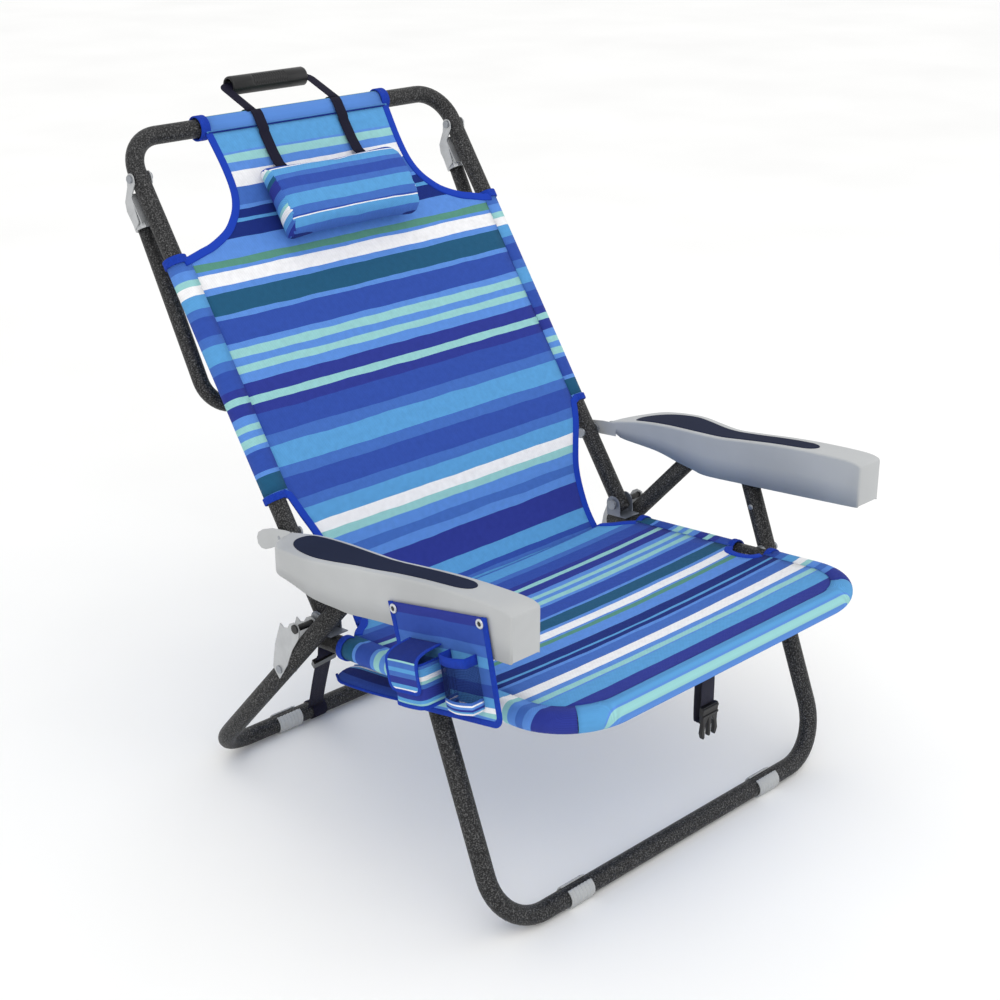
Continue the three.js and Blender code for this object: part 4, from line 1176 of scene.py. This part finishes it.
# ---------------------------------------------------------------- armrests
ARM_INNER = 303.5
ARM_TOP = [
    (-45, 473), (-30, 476), (0, 475), (52, 470.5), (104, 464), (160, 455), (201, 448.5), (250, 444.5),
    (300, 440.5), (350, 433.5), (404, 420.5),
]
ARM_BOTTOM = [
    (-45, 415), (-36, 412), (116, 395), (155, 391), (220, 384.5), (245, 387), (276, 391), (316, 397),
    (380, 398), (394, 401), (404, 407),
]
ARM_OUTER = [
    (-45, 350), (100, 350), (160, 351.5), (205, 356), (245, 366), (275, 374), (300, 376), (335, 373),
    (362, 368), (391, 345), (404, 325),
]
ARM_ROUND = 3
ARM_WALL = 2.0
# The rounded front edge: place, drop below the top and inset from the sides; flush from here on.
ARM_FRONT = [(-44.9, 12, 9), (-44.9, 2.6, 2.6), (-44.4, 1.2, 1.2), (-43, 0.3, 0.3)]
ARM_FLUSH_FROM = -41.5
ARM_REAR = 404
ARM_NECK_LOW = 411
# A point inside the armrest, and how far its tongue stands proud of the inner wall.
ARM_MIDDLE = (327, 180, 430)
TONGUE_PROUD = 0.2
TONGUE_OUTLINE = [
    (398, 419), (425, 416.5), (454, 411), (475, 403), (485, 396), (488.5, 388), (487, 379), (480, 374.5),
    (470, 375.5), (458, 381), (434, 394), (398, 398),
]


def along_curve(points):
    curve = smooth_curve([Vector((a, b, 0)) for a, b in points], 10)

    def value(y):
        for a, b in zip(curve, curve[1:]):
            if a.x <= y <= b.x:
                return a.y + (b.y - a.y) * (y - a.x) / max(b.x - a.x, 1e-6)
        return curve[0].y if y < curve[0].x else curve[-1].y

    return value


arm_top, arm_bottom, arm_outer = along_curve(ARM_TOP), along_curve(ARM_BOTTOM), along_curve(ARM_OUTER)


def armrest_section(side, y, inner, outer, low, high, rounding=ARM_ROUND):
    """One section of the armrest, open below, from its inner wall over the top to its outer wall."""
    points = [(inner, low), (inner, (low + high) / 2)]
    points += arc((inner + rounding, high - rounding), rounding, 180, 90, 6)
    points += [(inner + (outer - inner) * share, high) for share in (0.35, 0.65)]
    points += arc((outer - rounding, high - rounding), rounding, 90, 0, 6)
    points += [(outer, (low + high) / 2), (outer, low)]
    return [(side * x, y, z) for x, z in points]


def armrest_neck(side, share):
    """Behind the body only the top goes on, and ends before the place of the folded notch plates."""
    y = ARM_REAR + 7 * share
    high = ARM_TOP[-1][1] - 1.7 * share
    outer = ARM_OUTER[-1][1] - 18.5 * math.sin(math.pi / 2 * share)
    rounding = min(ARM_ROUND, (outer - ARM_INNER) / 2 - 0.1)
    return armrest_section(side, y, ARM_INNER, outer, ARM_NECK_LOW, high, rounding)


def make_armrest(name, side):
    rings = []
    steps = 60
    run = (ARM_REAR - 1 - ARM_FLUSH_FROM) / steps
    for y, drop, inset in ARM_FRONT + [(ARM_FLUSH_FROM + run * i, 0, 0) for i in range(steps + 1)]:
        inner, outer = ARM_INNER + inset, arm_outer(y) - inset
        rings.append(armrest_section(side, y, inner, outer, arm_bottom(y), arm_top(y) - drop))
    for i in range(9):
        rings.append(armrest_neck(side, i / 8))
    obj = skin(f"armrest_{name}_body", rings, WORLD, GREY_PLASTIC, closed=False)
    count = len(rings[0])
    centre = WORLD @ Vector((side * ARM_MIDDLE[0], *ARM_MIDDLE[1:]))

    def close_front(edit):
        edit.faces.new([edit.verts[k] for k in range(count)])
        faces_out(edit)
        outward = sum((face.calc_center_median() - centre).dot(face.normal) for face in edit.faces)
        if outward < 0:
            bmesh.ops.reverse_faces(edit, faces=edit.faces)

    edit_mesh(obj.data, close_front)
    for polygon in obj.data.polygons:
        polygon.use_smooth = abs(polygon.normal.y) < 0.95
    thicken(obj, ARM_WALL, -1)
    ride(obj, f"armrest_{name}", f"armrest_shell_{name}")
    proud = ARM_INNER - TONGUE_PROUD
    tongue = plate(f"armrest_{name}_tongue", TONGUE_OUTLINE, side * proud, side * (proud + ARM_WALL), WORLD,
                   GREY_PLASTIC)
    ride(tongue, f"armrest_{name}")


PAD_OUTLINE = [
    (311, 70), (313, 52), (319, 42), (327, 40), (334, 48), (338, 72), (340, 155), (347, 215), (360, 262),
    (365, 290), (361, 322), (350, 348), (334, 366), (320, 369), (311, 358), (310, 300), (310, 180),
]


def make_arm_pad(name, side):
    loop = smooth_curve(as_vectors(PAD_OUTLINE + PAD_OUTLINE[:1]), 5)[:-1]
    centre = Vector((327, 205, 0))
    rings = []
    for lift, shrink in ((-1.2, 0), (0.1, 0), (0.75, 0.6), (1.0, 1.6), (1.0, 4)):
        ring = []
        for point in loop:
            toward = Vector((math.copysign(1, centre.x - point.x), 0, 0))
            if point.y < 60 or point.y > 350:
                toward = (Vector((328, 90 if point.y < 60 else 320, 0)) - point).normalized()
            spot = point + toward * shrink
            ring.append((side * spot.x, spot.y, arm_top(spot.y) + lift))
        rings.append(ring)
    obj = skin(f"armrest_{name}_inset", rings, WORLD, ARM_PAD)
    count = len(loop)

    def close_top(edit):
        cap = edit.faces.new([edit.verts[(len(rings) - 1) * count + k] for k in range(count)])
        bmesh.ops.triangulate(edit, faces=[cap])
        faces_out(edit)
        if sum(face.normal.z * face.calc_area() for face in edit.faces) < 0:
            bmesh.ops.reverse_faces(edit, faces=edit.faces)

    edit_mesh(obj.data, close_top)
    for polygon in obj.data.polygons:
        polygon.use_smooth = True
    ride(obj, f"armrest_{name}", f"armrest_pad_{name}")


for name, side in SIDES:
    make_armrest(name, side)
    make_arm_pad(name, side)

# ---------------------------------------------------------------- floor clips
CLIP_LENGTH = 42
CLIP_RIBS = 7


def make_clip(x, y, body, node):
    """A ribbed C-shaped clip, slit along its top and flat where it stands."""
    matrix = WORLD @ Matrix.Translation((x, y, FRONT_BAR_Z))
    rings = []
    steps = CLIP_RIBS * 4
    for i in range(steps + 1):
        rib = 1 if i % 4 in (0, 1) else 0
        reach = 15.6 if rib else 14.4
        if i in (0, steps):
            reach = 15.0
        outer = []
        for a, b in arc((0, 0), reach, 90 + 24, 450 - 24, 40):
            outer.append((a, max(b, -15.0)))
        inner = arc((0, 0), 13.0, 450 - 24, 90 + 24, 40)
        across = CLIP_LENGTH * (i / steps - 0.5)
        rings.append([(across, a, b) for a, b in outer + inner])
    obj = skin(f"{node}_ribbed", rings, matrix, GREY_PLASTIC, caps=True)
    round_edges(obj, 0.35, 1, 40)
    ride(obj, body, node)


for name, side in SIDES:
    make_clip(side * 190, 0, "front_legs", f"front_foot_clip_{name}")
    make_clip(side * 185, REAR_BAR_Y, "rear_legs", f"rear_foot_clip_{name}")

# ---------------------------------------------------------------- pouch
PANEL_WIDTH = 172
PANEL_HEIGHT = 134
POUCH_CORNER = 15


def pouch_outline(inset=0.0):
    """The panel's edge in (y, z), from its top rear corner down, forward and up."""
    rear_low = (-10 - inset, -PANEL_HEIGHT + inset)
    centre = (POUCH_CORNER - PANEL_WIDTH, POUCH_CORNER - PANEL_HEIGHT)
    bottom = arc(centre, POUCH_CORNER - inset, 270, 180, 6)
    return [(-inset, 0), rear_low] + bottom + [(-PANEL_WIDTH + inset, 0)]


def make_pouch_panel():
    rows = 24
    rings = []
    for i in range(rows + 1):
        z = -PANEL_HEIGHT * i / rows
        rear = 10 * z / PANEL_HEIGHT
        front = -PANEL_WIDTH
        if z < POUCH_CORNER - PANEL_HEIGHT:
            rise = POUCH_CORNER - PANEL_HEIGHT - z
            front = POUCH_CORNER - PANEL_WIDTH - math.sqrt(max(POUCH_CORNER ** 2 - rise ** 2, 0))
        ring = []
        for k in range(25):
            y = rear + (front - rear) * k / 24
            sag = 1.6 * math.sin(math.pi * k / 24) * math.sin(math.pi * i / rows)
            ring.append((-0.7 + 0.4 * sag, y, z))
        rings.append(ring)
    obj = skin("pouch_back_cloth", rings, POUCH, FABRIC_PANEL, closed=False,
               cloth=lambda i, k: (PANEL_WIDTH * k / 24, PANEL_HEIGHT * i / rows))
    thicken(obj, 1.0)
    ride(obj, "armrest_left", "pouch_panel")
    edge = [Vector((-0.7, a, b)) for a, b in pouch_outline(3.5)]
    side_up = Vector((-1, 0, 0))
    ribbon("pouch_edge_tape", edge, rounded_section(8.5, 2.8, 1.3), side_up, POUCH, "armrest_left", BINDING)


PANEL_FACE = -1.7
POCKET_REAR = -34
POCKET_FRONT = -86
POCKET_FACE = -41
POCKET_CORNER = 9.0


def pocket_ring(depth_share, z, grow=0.0):
    """The pocket's wall seen from above: out from the panel, round the front and back again."""
    out = POCKET_FACE * depth_share - grow
    rear, front = POCKET_REAR + grow, POCKET_FRONT - grow
    centre = out + POCKET_CORNER
    points = [(PANEL_FACE, rear)]
    points += arc((centre, rear - POCKET_CORNER), POCKET_CORNER, 90, 180, 5)
    middle = (POCKET_REAR + POCKET_FRONT) / 2
    points += [(out - 0.8, middle + 8), (out - 1.0, middle), (out - 0.8, middle - 8)]
    points += arc((centre, front + POCKET_CORNER), POCKET_CORNER, 180, 270, 5)
    points += [(PANEL_FACE, front)]
    return [(x, y, z) for x, y in points]


def closed_bottom(obj, ring_index, count):
    def add_bottom(edit):
        cap = edit.faces.new([edit.verts[ring_index * count + k] for k in range(count)])
        cap.smooth = True

    edit_mesh(obj.data, add_bottom)


def make_box_pocket():
    rings = []
    for i, z in enumerate((-56, -60, -70, -80, -90, -100, -106, -109.5)):
        slump = 0.5 * math.sin(i)
        share = 1.0 if z > -108 else 0.97
        rings.append(pocket_ring(share, z, grow=slump * 0.6))
    count = len(rings[0])
    obj = skin("pouch_box", rings, POUCH, FABRIC_POCKET, closed=False,
               cloth=lambda i, k: (k * 6.0, -rings[i][0][2] - 56))
    closed_bottom(obj, len(rings) - 1, count)
    thicken(obj, 1.2)
    ride(obj, "armrest_left", "pouch_box_pocket")
    for label, z, height in (("low", -109, 5), ("top", -57, 3)):
        path = [Vector((x - 0.6, y, z)) for x, y, _ in pocket_ring(1.0, z)]
        section = rounded_section(2.6, height, 1.2)
        ribbon(f"pouch_box_{label}_tape", path, section, UP, POUCH, "armrest_left", BINDING)


FLAP_BEND = -30


def make_flap():
    path = smooth_curve([
        Vector((-3.2, 0, -41.8)), Vector((-14, 0, -42.4)), Vector((-28, 0, -44)), Vector((-38, 0, -47.5)),
        Vector((-43, 0, -54)), Vector((-44, 0, -70)), Vector((-43.4, 0, -84)), Vector((-43.2, 0, -91)),
    ], 4)
    length = [0.0]
    for a, b in zip(path, path[1:]):
        length.append(length[-1] + (b - a).length)
    whole = length[-1]
    rings = []
    for point, done in zip(path, length):
        corner = 9
        left = whole - done
        inset = 0.0 if left >= corner else corner - math.sqrt(max(corner ** 2 - (corner - left) ** 2, 0))
        rear, front = -33.4 - inset, -86.6 + inset
        ring = []
        for k in range(15):
            share = k / 14
            crown = 1.1 * math.sin(math.pi * share)
            ring.append((point.x - crown * 0.3, rear + (front - rear) * share, point.z + crown * 0.4))
        rings.append(ring)
    obj = skin("pouch_flap_cloth", rings, POUCH, FABRIC_FLAP, closed=False,
               cloth=lambda i, k: (k * 3.8, length[i]))
    thicken(obj, 1.2)
    ride(obj, "pouch_flap", "pouch_flap")
    edge = [Vector(ring[0]) for ring in rings] + [Vector(point) for point in rings[-1][2:-2:2]]
    edge += [Vector(ring[-1]) for ring in rings[::-1]]
    ups = [UP if point.x > FLAP_BEND else Vector((-1, 0, 0.1)) for point in edge]
    ribbon("pouch_flap_tape", edge, rounded_section(5, 2.2, 1.0), ups, POUCH, "pouch_flap", BINDING)


def make_mesh_pocket():
    rear, front, depth = -102, -146, -19.7

    def wall(z, grow=0.0):
        ring = [(-1.7, rear + grow)]
        ring += [(-1.7 + (depth + 1.7) * t, rear + grow) for t in (0.25, 0.5, 0.75)]
        for i in range(13):
            share = i / 12
            bulge = 5 * math.sin(math.pi * share) + grow
            ring.append((depth - bulge, rear + grow + (front - rear - 2 * grow) * share))
        ring += [(-1.7 + (depth + 1.7) * t, front - grow) for t in (0.75, 0.5, 0.25)]
        ring += [(-1.7, front - grow)]
        return [(x, y, z) for x, y in ring]

    def wall_cloth(i, k):
        return (k * 4.0, i * 2.0)

    net_rows = [wall(-57 - 43 * i / 22) for i in range(23)]
    fine = []
    for ring in net_rows:
        line = []
        for a, b in zip(ring, ring[1:]):
            steps = max(1, round((Vector(b) - Vector(a)).length / 2))
            line += [tuple(Vector(a).lerp(Vector(b), j / steps)) for j in range(steps)]
        fine.append(line + [ring[-1]])
    net = skin("pouch_net", fine, POUCH, NETTING, closed=False, cloth=wall_cloth, smooth=False)
    wire = net.modifiers.new("threads", "WIREFRAME")
    wire.thickness = 0.55 * MM
    wire.use_even_offset = False
    ride(net, "armrest_left", "pouch_mesh_pocket")
    top = skin("pouch_net_band", [wall(-46, 0.3), wall(-50, 0.3), wall(-58, 0.3)], POUCH, BINDING,
               closed=False)
    thicken(top, 1.2)
    ride(top, "armrest_left")
    cup_rings = [wall(-99.5, 0.3), wall(-105, 0.4), wall(-111, 0.2), wall(-114.6, -0.6)]
    cup = skin("pouch_net_cup", cup_rings, POUCH, FABRIC_CUP, closed=False,
               cloth=lambda i, k: (k * 4.0, -cup_rings[i][0][2] - 99.5))
    closed_bottom(cup, len(cup_rings) - 1, len(cup_rings[0]))
    thicken(cup, 1.2)
    ride(cup, "armrest_left")


def make_snap(name, y, z, node):
    """A pressed snap cap: flat rim, raised ring and a dark centre."""
    matrix = POUCH @ Matrix.Translation((PANEL_FACE, y, z))
    profile = [(6.0, 0), (6.1, -0.7), (5.2, -1.5), (4.0, -1.7), (3.3, -1.3), (3.0, -0.8)]
    rings = []
    for i in range(33):
        angle = math.radians(360 * i / 32)
        rings.append([(x, r * math.cos(angle), r * math.sin(angle)) for r, x in profile])
    obj = skin(name, rings, matrix, SNAP_METAL, closed=False)
    thicken(obj, 0.3)
    ride(obj, "armrest_left", node)
    dark = [[(x, a, b) for a, b in circle(reach, 24)] for x, reach in ((-0.5, 3.4), (-1.0, 2.4))]
    centre = skin(f"{name}_centre", dark, matrix, BLACK_PLASTIC, caps=True)
    ride(centre, "armrest_left")


make_pouch_panel()
make_box_pocket()
make_flap()
make_mesh_pocket()
make_snap("snap_rear", -8, -8.5, "pouch_snap_rear")
make_snap("snap_front", -161, -8, "pouch_snap_front")


# ---------------------------------------------------------------- closing strap under the seat
CLOSING_Y = -40
CLOSING_FRONT = [(1.5, 308), (2, 290), (5.5, 270), (5.5, 212), (2, 206.4)]


def make_closing_webbing():
    """A flat loop of webbing that hangs from the seat's underside."""
    loop = [(CLOSING_Y - out, z) for out, z in CLOSING_FRONT]
    loop += [(CLOSING_Y + out, z) for out, z in CLOSING_FRONT[::-1]]
    curve = smooth_curve([Vector((0, a, b)) for a, b in loop], 4)
    strap("closing_strap_loop", [(point.y, point.z) for point in curve], 25, WEBBING_THICK, 0, WORLD,
          "closing_strap", GREY_WEBBING, ("closing_webbing",))


make_closing_webbing()


# Half of the plug's outline: its side, a prong, the gap and half of the spine.
PLUG_SIDE = [
    (15, 231), (15.6, 224), (15, 217), (14, 205), (15.8, 193), (13.5, 186), (11, 183.6), (8.6, 186.5),
    (9.2, 196), (8, 206), (3.4, 212.5), (2.6, 200), (2.4, 187),
]


def make_male_buckle():
    """A side-release plug: body, slotted bar, centre spine and two springy prongs."""
    outline = [(-x, z) for x, z in PLUG_SIDE] + [(0, 185)] + PLUG_SIDE[::-1]
    body = plate("closing_plug", outline, -52, -46, WORLD, BLACK_PLASTIC, "y", 1.2)
    ride(body, "closing_strap", "closing_buckle_male")
    for label, low, high in (("upper", 225, 229), ("lower", 216, 219)):
        outline = [(-15, low), (15, low), (15, high), (-15, high)]
        bar = plate(f"closing_plug_{label}_bar", outline, -53.2, -45.8, WORLD, BLACK_PLASTIC,
                    "y", 0.8)
        ride(bar, "closing_strap")


make_male_buckle()

# ---------------------------------------------------------------- backpack straps
SHOULDER_TOP = (280, 383, 245)
SHOULDER_FLOOR = (130, REAR_BAR_Y, FRONT_BAR_Z)
# Side view of the tab that holds the webbing's upper end to the seat's rail.
SHOULDER_ANCHOR = [(383.5, 241), (382.5, 252), (381, 264)]
SHOULDER_WEBBING = rounded_section(25, 1.5, 0.7, 2)
PAD_SECTION = [
    (-30, -0.5), (-27, 3), (-16, 5.6), (0, 6.6), (16, 5.6), (27, 3), (30, -0.5), (27, -3.2), (14, -5),
    (0, -5.6), (-14, -5), (-27, -3.2),
]
PAD_ROUTE = [(200, 20, 283), (215, 90, 262), (232, 180, 238), (247, 280, 222), (255, 372, 213)]


def make_shoulder_strap(name, side):
    top = Vector((side * SHOULDER_TOP[0], *SHOULDER_TOP[1:]))
    end = Vector((side * SHOULDER_FLOOR[0], *SHOULDER_FLOOR[1:]))
    down = (end - top).normalized()
    across = down.cross(Vector((1, 0, 0))).normalized()
    length = (end - top).length - TUBE_R - 1.5
    path = []
    for i in range(13):
        share = i / 12
        path.append(top + down * length * share - across * 3 * math.sin(math.pi * share) * 0.4)
    obj = ribbon(f"shoulder_webbing_strip_{name}", path, SHOULDER_WEBBING, across, WORLD, f"strap_{name}",
                 WEBBING, (f"shoulder_strap_webbing_{name}",))
    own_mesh(obj)
    band(f"shoulder_webbing_loop_{name}", end, WORLD, "rear_legs", True, TUBE_R + 1.1,
         SHOULDER_WEBBING, WEBBING)
    strap(f"shoulder_webbing_anchor_{name}", SHOULDER_ANCHOR, 25, 1.5, side * SHOULDER_TOP[0], WORLD, "seat")

    route = smooth_curve([Vector((side * x, y, z)) for x, y, z in PAD_ROUTE], 12)
    rings = rings_along(route, PAD_SECTION)
    last = len(rings) - 1
    for i, (ring, point) in enumerate(zip(rings, route)):
        near = min(i, last - i)
        share = min(1, 0.55 + 0.18 * near)
        rings[i] = [point + (spot - point) * share for spot in ring]
    around = [30 + a for a, _ in PAD_SECTION] + [0]
    pad = skin(f"shoulder_pad_{name}", rings, WORLD, FABRIC_PAD, caps=True,
               cloth=lambda i, k: (i * 8.0, around[k]))
    subdivide(pad)
    ride(pad, "seat", f"shoulder_strap_pad_{name}")
    for label, spot in (("in", 0), ("out", 6)):
        edge = [ring[spot] for ring in rings]
        ribbon(f"shoulder_pad_tape_{label}_{name}", edge, rounded_section(4, 4, 2), UP, WORLD, "seat",
               BINDING)


for name, side in SIDES:
    make_shoulder_strap(name, side)

# ---------------------------------------------------------------- small rivets in the front legs
LEG_RIVET = (139, 357.5)
LEG_RIVET_HEAD = ((0.6, 4.2), (-0.4, 4.2), (-1.2, 3.4), (-1.7, 1.8), (-1.8, 0.4))
for name, side in SIDES:
    rings = []
    for out, reach in LEG_RIVET_HEAD:
        x = side * (FRONT_LEG_HALF - TUBE_R + out)
        rings.append([(x, LEG_RIVET[0] + a, LEG_RIVET[1] + b) for a, b in circle(reach, 20)])
    rivet = skin(f"leg_rivet_{name}", rings, WORLD, ZINC, caps=True)
    ride(rivet, "front_legs")

# ---------------------------------------------------------------- carried-over hardware
HARDWARE = {
    "hinge_bracket": (BRACKET_STEEL, 0.5), "hinge_bolt": (ZINC, 0.5), "front_pivot_bolt": (ZINC, 0.5),
    "front_leg_pin": (ZINC, 0.5), "rear_leg_pin": (ZINC, 0.5), "notch_plate_outer": (STEEL, 0.3),
    "notch_plate_inner": (STEEL, 0.3), "notch_rod": (BLACK_PLASTIC, 0.4), "notch_rivet": (ZINC, 0.4),
    "towel_bracket": (STEEL, 0.4), "towel_pivot_bolt": (ZINC, 0.4), "armrest_bolt": (ZINC, 0.4),
    "ladder_lock": (BLACK_PLASTIC, 0.8),
}


def dress(node, material, edge):
    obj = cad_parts[node]
    obj.data.materials.clear()
    obj.data.materials.append(material)
    round_edges(obj, edge, 2, 32)


for kind, (material, edge) in HARDWARE.items():
    for name, _ in SIDES:
        dress(f"{kind}_{name}", material, edge)
dress("closing_buckle_female", BLACK_PLASTIC, 1.0)
